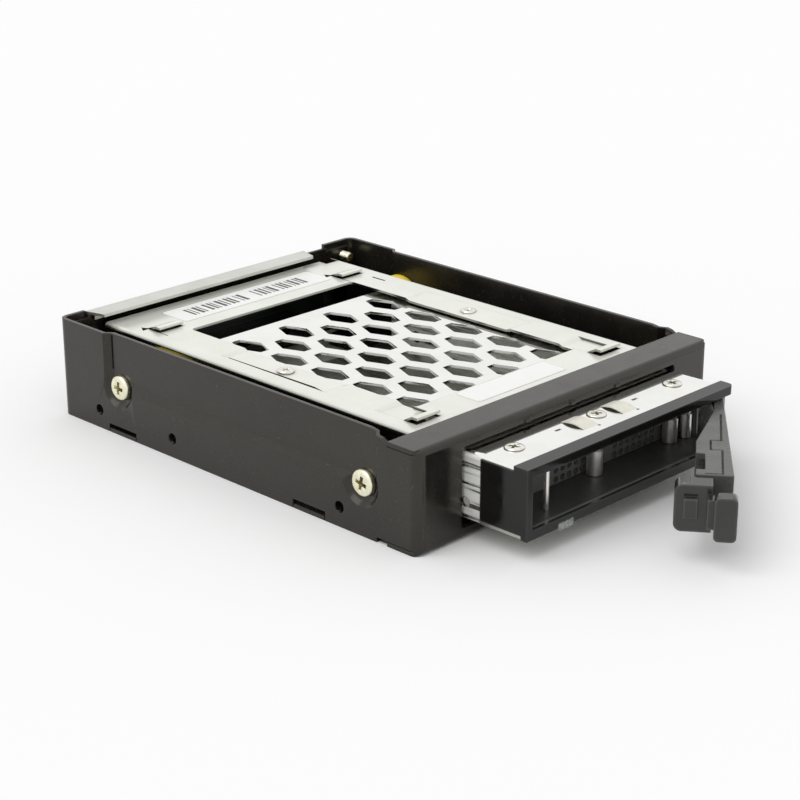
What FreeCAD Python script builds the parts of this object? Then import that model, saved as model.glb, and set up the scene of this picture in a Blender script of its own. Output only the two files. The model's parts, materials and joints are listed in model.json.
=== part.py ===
"""Drive cage for one 2.5-inch drive in a 3.5-inch bay.

Millimetres. X runs from left to right as seen from the front, Y from the front to the back, Z up.
The origin is the centre of the shell's bottom face. The tray is drawn out and its lever is open.
"""
import FreeCAD, Part
import math
import os
from FreeCAD import Vector

# Shell: one folded sheet that fills the bay
SHELL_WIDTH = 101.6
SHELL_HEIGHT = 25.4
SHELL_DEPTH = 125.0
SHELL_SHEET = 1.0
SHELL_BEND = 2.5
FLANGE_DEPTH = 9.3
FLANGE_BEND = 1.7
FLANGE_DROP = 1.0
RELIEF_LENGTH = 12.5
RELIEF_GAP = 0.2
OPENING_RADIUS = 1.0
PIPS_X = (-16.0, -0.5, 15.5)
PIP_WIDTH = 1.8
PIP_HEIGHT = 0.7
PIP_PROUD = 0.3
REAR_FLANGE_LEFT = 7.8
REAR_FLANGE_RIGHT = 11.1
WALL_HOLE_RADIUS = 1.4
WALL_HOLES_FROM_FRONT = (24.1, 81.6, 109.7)
WALL_HOLE_HEIGHT = 4.8
NOTCHES_FROM_FRONT = (34.0, 100.8)
NOTCH_LENGTH = 10.6
NOTCH_HEIGHT = 2.2

# Emboss in the upper half of each side wall, with a round lobe at each screw
EMBOSS_DEPTH = 1.5
EMBOSS_SLOPE = 1.6
EMBOSS_FRONT = 14.0
EMBOSS_REAR_GAP = 19.5
EMBOSS_HEIGHT = 13.6
LOBE_RADIUS = 3.9
SCREWS_FROM_FRONT = (17.4, 102.0)
SCREW_HEIGHT = 12.3
SCREW_HEAD_RADIUS = 3.2
SCREW_HEAD_HEIGHT = 1.5
SCREW_RADIUS = 1.45
SCREW_CLEARANCE = 0.1

# Drive and tray sheet
DRIVE_WIDTH = 69.85
DRIVE_LENGTH = 100.35
DRIVE_HOLE_SPACING = 76.6
DRIVE_HOLE_FROM_REAR = 14.0
DRIVE_HOLE_WIDTH = 61.72
DRIVE_HOLE_HEIGHT = 3.0
DRIVE_HOLE_RADIUS = 1.6
DRIVE_SIDE_CLEARANCE = 0.575
DRIVE_SPACE = 14.3
TRAY_SHEET = 0.7
TRAY_BEND = 1.4
TRAY_OUT = 18.0

# Tray front: moulded frame
TRAY_FRONT_STEP = 0.3
FRONT_FOOT = 0.3
LIP_PROUD = 0.5
LIP_THICK = 1.7
LIP_HEIGHT = 2.3
TOP_RIM_HEIGHT = 2.1
TOP_RIM_DEPTH = 4.0
FRONT_SIDE = 1.8
FRONT_DEPTH = 13.4
REAR_WALL_GAP = 0.8
REAR_WALL = 1.2
JAMB_DEPTH = 9.0
FRONT_FLOOR = 0.5
VENT_HALF = 0.55
VENT_PITCH = 2.3
VENT_ROWS = 3
VENT_RISE = 1.5
VENT_GROUPS = ((-5.7, 5), (17.5, 7))

# Cage, rails and clearances
BOTTOM_SHEET = 1.0
CAGE_SHEET = 0.6
CAGE_BEND = 1.2
RAIL_LEDGE = 3.0
RAIL_LEDGE_WIDTH = 7.0
RAIL_SIDE = 2.6
RAIL_START = 3.0
RAIL_TOP_GAP = 1.2
RUN_CLEARANCE = 0.3
TOP_CLEARANCE = 0.4
OPENING_SIDE_CLEARANCE = 0.7
OPENING_BOTTOM_CLEARANCE = 2.2
CAGE_REAR_GAP = 4.5
REAR_FOLD_HEIGHT = 7.0
WINDOW_INSET = 12.0
WINDOW_FRONT = 23.0
WINDOW_REAR_BAND = 19.5
WINDOW_RADIUS = 1.2
SLIT = 0.6
SHEAR = 0.12
CORNER_RELIEF_WIDTH = 5.5
CORNER_RELIEF_DEPTH = 3.0

# Joggled tabs and lances of the cage cover
TAB_WIDTH = 7.5
TAB_FRONT = 44.2
TAB_REAR = 80.7
PAD_FRONT = 20.2
PAD_REAR = 28.3
JOGGLE_RAMP = 1.3
TAB_SCREW_FROM_FRONT = 61.8
TAB_SCREW_INSET = 8.2
TAB_SCREW_HEAD_RADIUS = 2.0
TAB_SCREW_HEAD_HEIGHT = 0.7
TAB_SCREW_RADIUS = 1.4
LANCE_FRONT = 15.2
LANCE_LIP = 1.6
LANCE_RISE = 1.4
REAR_LANCE_X = 31.5
REAR_LANCE_WIDTH = 7.5
REAR_LANCE_LENGTH = 5.0
REAR_LANCE_RISE = 1.2
REAR_LANCE_FROM_REAR = 16.2
REAR_SLIT_LENGTH = 3.2
REAR_HOLE_OUT = 0.6
REAR_HOLE_RADIUS = 1.5
DASH_LENGTH = 4.8
DASH_INSET = 5.2
DASH_FROM_REAR = 23.0

# Rubber rings between the cage and the shell, round the shell screws
DAMPER_RADIUS = 7.3
DAMPER_BEVEL = 0.3

# Backplane and connectors
BOARD_THICK = 1.6
BOARD_SIDE_GAP = 5.4
BOARD_FLOOR_GAP = 0.5
BOARD_TOP_GAP = 1.2
BOARD_SCREW_INSET = 8.0
BOARD_SCREW_RADIUS = 1.2
BOARD_SCREW_HEAD_RADIUS = 2.3
BOARD_SCREW_HEAD = 1.2
SOCKET_WIDTH = 40.0
SOCKET_HEIGHT = 5.6
SOCKET_DEPTH = 6.3
SOCKET_RISE = 3.5
SOCKET_GAP = 0.7
SOCKET_SLOTS = ((-13.0, 9.0), (4.5, 22.0))
SLOT_HEIGHT = 2.6
TONGUE_HEIGHT = 1.2
DATA_WIDTH = 15.0
POWER_WIDTH = 24.0
REAR_CONNECTOR_HEIGHT = 6.4
DATA_X = -18.0
POWER_X = 9.0
REAR_CONNECTOR_Z = 8.4
REAR_CONNECTOR_INSET = 0.4
SHROUD_WALL = 1.1

# Rear plate
REAR_SHEET = 0.8
REAR_STRIP = 5.6
REAR_STRIP_TAPER = 1.6
STRIP_SHORT = 7.8
STRIP_LEG = 2.4
REAR_PLATE_SHOULDER = 1.6
REAR_CUT_MARGIN = 0.6
REAR_SCREW_INSET = 4.8
REAR_SCREW_HEIGHT = 21.3
REAR_SCREW_RADIUS = 1.4
REAR_SCREW_HEAD_RADIUS = 2.5
REAR_SCREW_LENGTH = 4.0

# Holes and fingers of the tray cover
HEX_HALF_LENGTH = 5.4
HEX_HALF_FLAT = 1.3
HEX_HALF_WIDTH = 3.45
HEX_PITCH_X = 7.75
HEX_PITCH_Y = 14.25
HEX_COLUMNS = 3
HEX_REAR_MARGIN = 9.2
HEX_FRONT_MARGIN = 28.0
FINGER_WIDTH = 4.0
FINGER_LENGTH = 6.5
FINGER_SLOT = 0.6
FINGER_SHEET = 0.35
FINGER_RISE = 0.6
FINGERS_X = (-9.0, 4.8)
FINGER_FROM_FACE = 7.5
COVER_SCREW_INSET = 8.7
COVER_SCREW_FROM_FACE = 11.5
COVER_SCREW_HEAD_RADIUS = 2.3
COVER_SCREW_PROUD = 0.45
COVER_SCREW_RADIUS = 1.0
COVER_SCREW_LENGTH = 5.0
SMALL_SLOTS_X = (-13.3, 13.7)
SMALL_SLOT_WIDTH = 1.8
SMALL_SLOT_DEPTH = 0.7
SMALL_HOLES_X = (-4.5, 9.2)
SMALL_HOLE_RADIUS = 0.4
SMALL_HOLE_FROM_FACE = 7.0
SIDE_HOLE_RADIUS = 1.25
SIDE_HOLE_FROM_FACE = 17.8

# Posts, pins and lens of the tray
POST_RADIUS = 1.6
POST_STEP = 0.15
LATCH_PIN_RADIUS = 0.6
PIN_RADIUS = 1.2
PIN_CLEARANCE = 0.08
LENS_X = -23.5
LENS_WIDTH = 5.0
LENS_DROP = 0.7
LENS_RISE = 1.1

# Lever and its sliding lock, measured along the arm from the pivot or back from the arm's end
PIVOT_FROM_SIDE = 3.0
PIVOT_FROM_FACE = 4.0
LEVER_OPEN = 36.5
LEVER_GAP = 0.5
HUB_RADIUS = 3.0
ARM_ROOT = 2.4
ARM_OUTER = 4.4
ARM_WAIST = 0.2
ARM_WAIST_AT = 11.3
ARM_INNER = 3.7
ARM_INNER_LENGTH = 19.0
ARM_WALL = 1.5
ARM_RIB = 1.2
ARM_RIBS_FROM_END = (28.2, 17.2)
ARM_POCKET_START = 13.0
ARM_POCKET_END = 6.2
ARM_NOTCH_FROM_END = 3.2
ARM_NOTCH_LENGTH = 9.0
ARM_NOTCH_EDGE = 1.7
ARM_NOTCH_DEPTH = 2.5
SEAM_START = 12.8
SEAM_FROM_END = ((20.0, 1.8), (20.0, -0.5), (14.4, -0.5), (14.4, 2.0), (0.8, 2.0), (0.8, -1.5))
SEAM_WIDTH = 0.35
SEAM_DEPTH = 0.5
LOCK_GAP = 0.3
LOCK_TRAVEL = 1.5
LATCH_PIN_INSET = 11.6
BLOCK_REACH = 5.0
BLOCK_INNER = 8.0
BLOCK_RADIUS = 1.8
BLOCK_DROP = 0.4
BLOCK_WALL = 1.1
BLOCK_POCKET = 7.0
TAB_REACH = 9.6
TAB_THICK = 3.2
TAB_INNER = 0.4
TAB_OUTER = 5.2
TAB_DROP = 1.2
TONGUE_INNER = 3.4
TONGUE_OUTER = 0.9
TONGUE_REACH = 2.8
TONGUE_MARGIN = 2.0
CATCH_DEPTH = 3.0
CATCH_HEIGHT = 5.0
CATCH_FOOT = 0.3

# Places worked out from the sizes above
HALF_WIDTH = SHELL_WIDTH / 2
FRONT = -SHELL_DEPTH / 2
BACK = SHELL_DEPTH / 2
FLANGE_TOP = SHELL_HEIGHT - FLANGE_DROP
WALL_INNER = HALF_WIDTH - SHELL_SHEET
EMBOSS_INNER = WALL_INNER - EMBOSS_DEPTH
RECESS = HALF_WIDTH - EMBOSS_DEPTH

CAGE_FLOOR = BOTTOM_SHEET + CAGE_SHEET
LEDGE_TOP = CAGE_FLOOR + RAIL_LEDGE
FRONT_BOTTOM = LEDGE_TOP + RUN_CLEARANCE
TRAY_BOTTOM = FRONT_BOTTOM + FRONT_FOOT
TRAY_FLOOR = TRAY_BOTTOM + TRAY_SHEET
FLOOR_TOP = TRAY_FLOOR + FRONT_FLOOR
TRAY_CEILING = TRAY_FLOOR + DRIVE_SPACE
TRAY_TOP = TRAY_CEILING + TRAY_SHEET
FRONT_TOP = TRAY_TOP + LIP_PROUD
CAGE_CEILING = FRONT_TOP + TOP_CLEARANCE
CAGE_TOP = CAGE_CEILING + CAGE_SHEET
TAB_CEILING = TRAY_TOP + TOP_CLEARANCE
TAB_TOP = TAB_CEILING + CAGE_SHEET

TRAY_INNER = DRIVE_WIDTH / 2 + DRIVE_SIDE_CLEARANCE
TRAY_OUTER = TRAY_INNER + TRAY_SHEET
FRONT_OUTER = TRAY_OUTER + TRAY_FRONT_STEP
FRONT_INNER = FRONT_OUTER - FRONT_SIDE
RAIL_INNER = FRONT_OUTER + RUN_CLEARANCE
CAGE_INNER = RAIL_INNER + RAIL_SIDE
CAGE_OUTER = CAGE_INNER + CAGE_SHEET
WINDOW_HALF = CAGE_OUTER - WINDOW_INSET

SHEET_BACK = FRONT + SHELL_SHEET
CAGE_FRONT = FRONT + FLANGE_BEND
CAGE_BACK = BACK - CAGE_REAR_GAP
BOARD_HALF = CAGE_INNER - BOARD_SIDE_GAP
BOARD_SCREW_X = BOARD_HALF - BOARD_SCREW_INSET
BOARD_BACK = CAGE_BACK - CAGE_SHEET
BOARD_FRONT = BOARD_BACK - BOARD_THICK
SOCKET_FRONT = BOARD_FRONT - SOCKET_DEPTH
PLATE_BACK = BACK - SHELL_SHEET
PLATE_FRONT = PLATE_BACK - REAR_SHEET
REAR_LEFT = -HALF_WIDTH + REAR_FLANGE_LEFT
REAR_RIGHT = HALF_WIDTH - REAR_FLANGE_RIGHT
REAR_SCREW_X = HALF_WIDTH - REAR_SCREW_INSET
STRIP_BOTTOM = SHELL_HEIGHT - REAR_SHEET

TRAY_FACE = FRONT - TRAY_OUT
TRAY_REAR = SOCKET_FRONT - SOCKET_GAP - TRAY_OUT
COVER_FRONT = TRAY_FACE + TOP_RIM_DEPTH
BASE_FRONT = TRAY_FACE + LIP_THICK
SIDE_FRONT = TRAY_FACE + FRONT_DEPTH
REAR_WALL_FRONT = SIDE_FRONT + REAR_WALL_GAP
DRIVE_REAR = REAR_WALL_FRONT + REAR_WALL + RUN_CLEARANCE + DRIVE_LENGTH
SCREW_ROW = TRAY_FACE + COVER_SCREW_FROM_FACE
COVER_SCREW_X = FRONT_OUTER - COVER_SCREW_INSET
COVER_HOLE_RADIUS = COVER_SCREW_RADIUS + SCREW_CLEARANCE
WINDOW_LOW = FRONT_BOTTOM + LIP_HEIGHT
WINDOW_HIGH = FRONT_TOP - TOP_RIM_HEIGHT
PIVOT = Vector(FRONT_OUTER - PIVOT_FROM_SIDE, TRAY_FACE + PIVOT_FROM_FACE, 0)
LEVER_LOW = WINDOW_LOW + LEVER_GAP
LEVER_HIGH = WINDOW_HIGH - LEVER_GAP
LATCH_PIN_S = PIVOT.x + FRONT_INNER - LATCH_PIN_INSET
BLOCK_END = LATCH_PIN_S - LATCH_PIN_RADIUS - LOCK_GAP - LOCK_TRAVEL
ARM_END = BLOCK_END - BLOCK_REACH
TAB_END = ARM_END + TAB_REACH
TONGUE_END = ARM_END + TONGUE_REACH
LATCH_PIN_N = -(TONGUE_OUTER + 2 * LATCH_PIN_RADIUS)
PAST = 5.0
PARALLEL = 0.999
ACROSS = Vector(1, 0, 0)
DEPTH = Vector(0, 1, 0)
UP = Vector(0, 0, 1)


def box(x0, x1, y0, y1, z0, z1):
    """Block between two corners."""
    return Part.makeBox(x1 - x0, y1 - y0, z1 - z0, Vector(x0, y0, z0))


def rod(start, end, radius):
    """Round bar from one point to another."""
    start = Vector(*start)
    along = Vector(*end) - start
    return Part.makeCylinder(radius, along.Length, start, along)


def extrude(points, along):
    """Straight-sided outline through 3-D points, carried along a vector."""
    corners = [Vector(*point) for point in points]
    outline = Part.makePolygon(corners + corners[:1])
    return Part.Face(outline).extrude(Vector(*along))


def profile_yz(points, x0, x1):
    """Outline of (y, z) points carried from one x to another."""
    return extrude([(x0, y, z) for y, z in points], (x1 - x0, 0, 0))


def profile_xy(points, z0, z1):
    """Outline of (x, y) points carried from one z to another."""
    return extrude([(x, y, z0) for x, y in points], (0, 0, z1 - z0))


def profile_xz(points, y0, y1):
    """Outline of (x, z) points carried from one y to another."""
    return extrude([(x, y0, z) for x, z in points], (0, y1 - y0, 0))


def polygon(u, v, radius, sides):
    """Corners of a regular polygon about a point, the first one straight up."""
    angles = [math.pi / 2 + 2 * math.pi * side / sides for side in range(sides)]
    return [(u + radius * math.cos(angle), v + radius * math.sin(angle)) for angle in angles]


def round_edges(solid, radius, axis, wanted=lambda middle: True):
    """Round the straight edges parallel to an axis whose middle point passes the test."""
    edges = []
    for edge in solid.Edges:
        if not isinstance(edge.Curve, Part.Line) or abs(edge.Curve.Direction.dot(axis)) < PARALLEL:
            continue
        if wanted(edge.valueAt((edge.FirstParameter + edge.LastParameter) / 2)):
            edges.append(edge)
    return solid.makeFillet(radius, edges)


def mirror_x(shape):
    """The same shape on the other side of the middle plane."""
    return shape.mirror(Vector(0, 0, 0), ACROSS)


def both_sides(shape):
    """A shape and its mirror image."""
    return [shape, mirror_x(shape)]


def near(value, target):
    """True for values that differ by less than a hundredth of a millimetre."""
    return abs(value - target) < 0.01


def emboss(outer_face, inner_face):
    """Sloped raised form of the wall's upper half and its lobes, between two x planes on the right side."""
    top = SHELL_HEIGHT + PAST
    rear = BACK - EMBOSS_REAR_GAP
    panel = box(0, 1, FRONT + EMBOSS_FRONT, rear, EMBOSS_HEIGHT, top)
    for offset in SCREWS_FROM_FRONT:
        lobe = rod((0, FRONT + offset, SCREW_HEIGHT), (1, FRONT + offset, SCREW_HEIGHT), LOBE_RADIUS)
        panel = panel.fuse(lobe)
    panel = panel.removeSplitter()
    floor = [face for face in panel.Faces if near(face.CenterOfMass.x, 0)][0]
    wide = floor.makeOffset2D(EMBOSS_SLOPE, 2)
    small = floor.OuterWire.copy()
    large = wide.OuterWire.copy()
    small.translate(Vector(inner_face, 0, 0))
    large.translate(Vector(outer_face, 0, 0))
    return Part.makeLoft([large, small], True, True)


def make_shell():
    """Front face, side walls and rear flanges folded from one sheet, with flanges along the front."""
    outline = box(-HALF_WIDTH, HALF_WIDTH, FRONT, BACK, 0, SHELL_HEIGHT)
    outline = round_edges(outline, SHELL_BEND, UP)
    hollow = box(-WALL_INNER, WALL_INNER, SHEET_BACK, PLATE_BACK, -PAST, SHELL_HEIGHT + PAST)
    walls = outline.cut(round_edges(hollow, SHELL_BEND - SHELL_SHEET, UP))
    walls = walls.cut(box(REAR_LEFT, REAR_RIGHT, PLATE_FRONT, BACK + PAST, -PAST, SHELL_HEIGHT + PAST))

    relief_back = FRONT + RELIEF_LENGTH
    above = FLANGE_TOP - SHELL_SHEET - RELIEF_GAP
    below = SHELL_SHEET + RELIEF_GAP
    for low, high in ((above, SHELL_HEIGHT + PAST), (-PAST, below)):
        walls = walls.cut(box(-HALF_WIDTH - PAST, HALF_WIDTH + PAST, FRONT - PAST, relief_back, low, high))

    outer = box(-HALF_WIDTH, HALF_WIDTH, FRONT, FRONT + FLANGE_DEPTH, 0, FLANGE_TOP)
    outer = round_edges(outer, FLANGE_BEND, ACROSS, lambda middle: near(middle.y, FRONT))
    inner = box(-HALF_WIDTH - PAST, HALF_WIDTH + PAST, SHEET_BACK, FRONT + FLANGE_DEPTH + PAST,
                SHELL_SHEET, FLANGE_TOP - SHELL_SHEET)
    inner = round_edges(inner, FLANGE_BEND - SHELL_SHEET, ACROSS, lambda middle: near(middle.y, SHEET_BACK))
    shell = walls.fuse(outer.cut(inner).common(outline))

    opening_half = FRONT_OUTER + OPENING_SIDE_CLEARANCE
    opening = box(-opening_half, opening_half, FRONT - PAST, SHEET_BACK + RUN_CLEARANCE,
                  FRONT_BOTTOM - OPENING_BOTTOM_CLEARANCE, CAGE_CEILING)
    shell = shell.cut(round_edges(opening, OPENING_RADIUS, DEPTH))
    for x in PIPS_X:
        shell = shell.fuse(box(x - PIP_WIDTH / 2, x + PIP_WIDTH / 2, FRONT - PIP_PROUD, SHEET_BACK,
                               CAGE_CEILING, CAGE_CEILING + PIP_HEIGHT))

    raised = emboss(WALL_INNER, EMBOSS_INNER).common(box(0, HALF_WIDTH, FRONT, BACK, 0, SHELL_HEIGHT))
    for side in both_sides(raised):
        shell = shell.fuse(side)
    cuts = [emboss(HALF_WIDTH, RECESS)]
    for offset in SCREWS_FROM_FRONT:
        y = FRONT + offset
        cuts.append(rod((EMBOSS_INNER - PAST, y, SCREW_HEIGHT), (HALF_WIDTH, y, SCREW_HEIGHT),
                        SCREW_RADIUS + SCREW_CLEARANCE))
    for offset in WALL_HOLES_FROM_FRONT:
        y = FRONT + offset
        cuts.append(rod((EMBOSS_INNER, y, WALL_HOLE_HEIGHT), (HALF_WIDTH + PAST, y, WALL_HOLE_HEIGHT),
                        WALL_HOLE_RADIUS))
    for offset in NOTCHES_FROM_FRONT:
        y = FRONT + offset
        cuts.append(box(EMBOSS_INNER, HALF_WIDTH + PAST, y - NOTCH_LENGTH / 2, y + NOTCH_LENGTH / 2,
                        -PAST, NOTCH_HEIGHT))
    cuts.append(rod((REAR_SCREW_X, PLATE_FRONT, REAR_SCREW_HEIGHT),
                    (REAR_SCREW_X, BACK + PAST, REAR_SCREW_HEIGHT), REAR_SCREW_HEAD_RADIUS))
    for cut in cuts:
        for side in both_sides(cut):
            shell = shell.cut(side)
    return shell.removeSplitter()


def make_bottom_plate():
    """Flat plate between the walls, with a tab in each wall notch."""
    front = FRONT + FLANGE_DEPTH + RUN_CLEARANCE
    plate = box(-WALL_INNER, WALL_INNER, front, PLATE_BACK, 0, BOTTOM_SHEET)
    plate = round_edges(plate, SHELL_BEND - SHELL_SHEET, UP, lambda middle: near(middle.y, PLATE_BACK))
    half = NOTCH_LENGTH / 2 - RUN_CLEARANCE
    for offset in NOTCHES_FROM_FRONT:
        y = FRONT + offset
        plate = plate.fuse(box(-HALF_WIDTH, HALF_WIDTH, y - half, y + half, 0, BOTTOM_SHEET))
    return plate.removeSplitter()


def make_rear_plate():
    """Upright plate inside the rear flanges, with cut-outs for the connectors."""
    edge = HALF_WIDTH - SHELL_BEND
    plate = box(-edge, edge, PLATE_FRONT, PLATE_BACK, BOTTOM_SHEET, SHELL_HEIGHT - REAR_PLATE_SHOULDER)
    plate = plate.fuse(box(REAR_LEFT, REAR_RIGHT, PLATE_FRONT, PLATE_BACK, BOTTOM_SHEET, STRIP_BOTTOM))
    plate = plate.removeSplitter()
    for x, width in ((DATA_X, DATA_WIDTH), (POWER_X, POWER_WIDTH)):
        half = width / 2 + REAR_CUT_MARGIN
        rise = REAR_CONNECTOR_HEIGHT / 2 + REAR_CUT_MARGIN
        plate = plate.cut(box(x - half, x + half, PLATE_FRONT - PAST, BACK + PAST,
                              REAR_CONNECTOR_Z - rise, REAR_CONNECTOR_Z + rise))
    x, z = REAR_SCREW_X, REAR_SCREW_HEIGHT
    hole = rod((x, PLATE_FRONT - PAST, z), (x, BACK, z), REAR_SCREW_RADIUS + SCREW_CLEARANCE)
    for side in both_sides(hole):
        plate = plate.cut(side)
    return plate


def make_rear_strip():
    """Pale angle on the rear plate's upper edge, with one leg pointing forward and one hanging down."""
    right = REAR_RIGHT - STRIP_SHORT
    front = PLATE_BACK - REAR_STRIP
    outline = [(REAR_LEFT, PLATE_BACK), (right, PLATE_BACK), (right - REAR_STRIP_TAPER, front),
               (REAR_LEFT + REAR_STRIP_TAPER, front)]
    strip = profile_xy(outline, STRIP_BOTTOM, SHELL_HEIGHT)
    leg = box(REAR_LEFT + REAR_STRIP_TAPER, right - REAR_STRIP_TAPER, PLATE_FRONT - REAR_SHEET, PLATE_FRONT,
              SHELL_HEIGHT - STRIP_LEG, SHELL_HEIGHT)
    return strip.fuse(leg).removeSplitter()


def make_rear_screws():
    """Flush screws through the rear flanges and the rear plate."""
    x, z = REAR_SCREW_X, REAR_SCREW_HEIGHT
    head = rod((x, PLATE_BACK, z), (x, BACK, z), REAR_SCREW_HEAD_RADIUS - SCREW_CLEARANCE)
    shank = rod((x, PLATE_BACK - REAR_SCREW_LENGTH, z), (x, PLATE_BACK, z), REAR_SCREW_RADIUS)
    return both_sides(head.fuse(shank).removeSplitter())


def top_strip(underside, x0, x1):
    """Strip of the cage's top sheet, its underside given by (y, z) places from the back to the front."""
    upper = [(y, z + CAGE_SHEET) for y, z in reversed(underside)]
    return profile_yz(underside + upper, x0, x1)


def make_cage_cover():
    """Folded cover: top frame round a window, joggled tabs, raised lances, two sides and a rear fold."""
    outer = box(-CAGE_OUTER, CAGE_OUTER, CAGE_FRONT, CAGE_BACK, BOTTOM_SHEET, CAGE_TOP)
    outer = round_edges(outer, CAGE_BEND, DEPTH, lambda middle: near(middle.z, CAGE_TOP))
    inner = box(-CAGE_INNER, CAGE_INNER, CAGE_FRONT - PAST, CAGE_BACK + PAST, -PAST, CAGE_CEILING)
    inner = round_edges(inner, CAGE_BEND - CAGE_SHEET, DEPTH, lambda middle: near(middle.z, CAGE_CEILING))
    cover = outer.cut(inner)

    fold = CAGE_INNER - CAGE_BEND
    cover = cover.fuse(box(-fold, fold, BOARD_BACK, CAGE_BACK, CAGE_TOP - REAR_FOLD_HEIGHT, CAGE_TOP))
    window = box(-WINDOW_HALF, WINDOW_HALF, FRONT + WINDOW_FRONT, CAGE_BACK - WINDOW_REAR_BAND,
                 CAGE_CEILING - PAST, CAGE_TOP + PAST)
    cover = cover.cut(round_edges(window, WINDOW_RADIUS, UP))

    low, high = TAB_CEILING - CAGE_SHEET, CAGE_TOP + PAST
    tab_edge = WINDOW_HALF + TAB_WIDTH
    tab_front, tab_rear = FRONT + TAB_FRONT, FRONT + TAB_REAR
    tab = [(tab_rear, CAGE_CEILING), (tab_rear - JOGGLE_RAMP, TAB_CEILING),
           (tab_front + JOGGLE_RAMP, TAB_CEILING), (tab_front, CAGE_CEILING)]
    pad_rear = FRONT + PAD_REAR
    hood = CAGE_CEILING + LANCE_RISE
    lance = [(pad_rear, CAGE_CEILING), (pad_rear - JOGGLE_RAMP, TAB_CEILING),
             (FRONT + PAD_FRONT, TAB_CEILING), (FRONT + LANCE_FRONT + LANCE_LIP, hood),
             (FRONT + LANCE_FRONT, hood)]
    for underside in (tab, lance):
        slot = box(WINDOW_HALF - SHEAR, tab_edge + SHEAR, underside[-1][0], underside[0][0], low, high)
        strip = top_strip(underside, WINDOW_HALF, tab_edge)
        for cut, side in zip(both_sides(slot), both_sides(strip)):
            cover = cover.cut(cut).fuse(side)

    mouth = CAGE_BACK - REAR_LANCE_FROM_REAR
    root = mouth + REAR_LANCE_LENGTH
    rear_hood = CAGE_CEILING + REAR_LANCE_RISE
    rear_lance = [(root, CAGE_CEILING), (mouth + LANCE_LIP, rear_hood), (mouth, rear_hood)]
    for centre in (-REAR_LANCE_X, REAR_LANCE_X):
        x0, x1 = centre - REAR_LANCE_WIDTH / 2, centre + REAR_LANCE_WIDTH / 2
        cover = cover.cut(box(x0 - SHEAR, x1 + SHEAR, mouth, root, low, high))
        cover = cover.cut(box(x0 - SHEAR, x0 + SHEAR, mouth - REAR_SLIT_LENGTH, mouth, low, high))
        cover = cover.fuse(top_strip(rear_lance, x0, x1))
        triangle = polygon(x0 - REAR_HOLE_OUT, root, REAR_HOLE_RADIUS, 3)
        cover = cover.cut(profile_xy(triangle, low, high))

    screw_x, screw_y = CAGE_OUTER - TAB_SCREW_INSET, FRONT + TAB_SCREW_FROM_FRONT
    board_z = CAGE_TOP - REAR_FOLD_HEIGHT / 2
    paired = [rod((screw_x, screw_y, low - PAST), (screw_x, screw_y, high),
                  TAB_SCREW_RADIUS + SCREW_CLEARANCE),
              rod((BOARD_SCREW_X, BOARD_BACK - PAST, board_z), (BOARD_SCREW_X, BACK, board_z),
                  BOARD_SCREW_RADIUS + SCREW_CLEARANCE)]
    for offset in SCREWS_FROM_FRONT:
        y = FRONT + offset
        paired.append(rod((CAGE_INNER, y, SCREW_HEIGHT), (CAGE_OUTER, y, SCREW_HEIGHT),
                          SCREW_RADIUS + SCREW_CLEARANCE))
    for shape in paired:
        for side in both_sides(shape):
            cover = cover.cut(side)

    dash_x, dash_y = CAGE_OUTER - DASH_INSET, CAGE_BACK - DASH_FROM_REAR
    cover = cover.cut(box(dash_x - SLIT / 2, dash_x + SLIT / 2, dash_y - DASH_LENGTH / 2,
                          dash_y + DASH_LENGTH / 2, low, high))
    relief = box(CAGE_OUTER - CORNER_RELIEF_WIDTH, CAGE_OUTER - CAGE_BEND, CAGE_BACK - CORNER_RELIEF_DEPTH,
                 CAGE_BACK + PAST, CAGE_TOP - REAR_FOLD_HEIGHT - PAST, high)
    return cover.cut(relief).removeSplitter()


def make_cage_base():
    """Floor of the cage, between the sides of its cover."""
    return box(-CAGE_INNER, CAGE_INNER, CAGE_FRONT, CAGE_BACK, BOTTOM_SHEET, CAGE_FLOOR)


def flat_screw(seat, outward, head_radius, head_height, radius, length):
    """Screw with a flat head that stands on its seat and a shank that runs the other way."""
    out = Vector(*outward)
    seat = Vector(*seat)
    head = Part.makeCylinder(head_radius, head_height, seat, out)
    shank = Part.makeCylinder(radius, length, seat, out * -1)
    return head.fuse(shank).removeSplitter()


def make_cage_top_screws():
    """Short screws clinched in the middle tabs."""
    screw = flat_screw((CAGE_OUTER - TAB_SCREW_INSET, FRONT + TAB_SCREW_FROM_FRONT, TAB_TOP), (0, 0, 1),
                       TAB_SCREW_HEAD_RADIUS, TAB_SCREW_HEAD_HEIGHT, TAB_SCREW_RADIUS, CAGE_SHEET)
    return both_sides(screw)


def make_shell_screws():
    """Screws in the lobes of the side walls, through the rubber rings into the cage's sides."""
    screws = []
    for offset in SCREWS_FROM_FRONT:
        screws += both_sides(flat_screw((RECESS, FRONT + offset, SCREW_HEIGHT), (1, 0, 0), SCREW_HEAD_RADIUS,
                                        SCREW_HEAD_HEIGHT, SCREW_RADIUS, RECESS - CAGE_INNER))
    return screws


def make_damper(offset):
    """Rubber ring on the right side, squeezed between the cage and the shell round one screw."""
    inner = (CAGE_OUTER, FRONT + offset, SCREW_HEIGHT)
    outer = (EMBOSS_INNER, FRONT + offset, SCREW_HEIGHT)
    ring = rod(inner, outer, DAMPER_RADIUS)
    rims = [edge for edge in ring.Edges if isinstance(edge.Curve, Part.Circle)]
    ring = ring.makeChamfer(DAMPER_BEVEL, rims)
    return ring.cut(rod(inner, outer, SCREW_RADIUS + SCREW_CLEARANCE))


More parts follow.
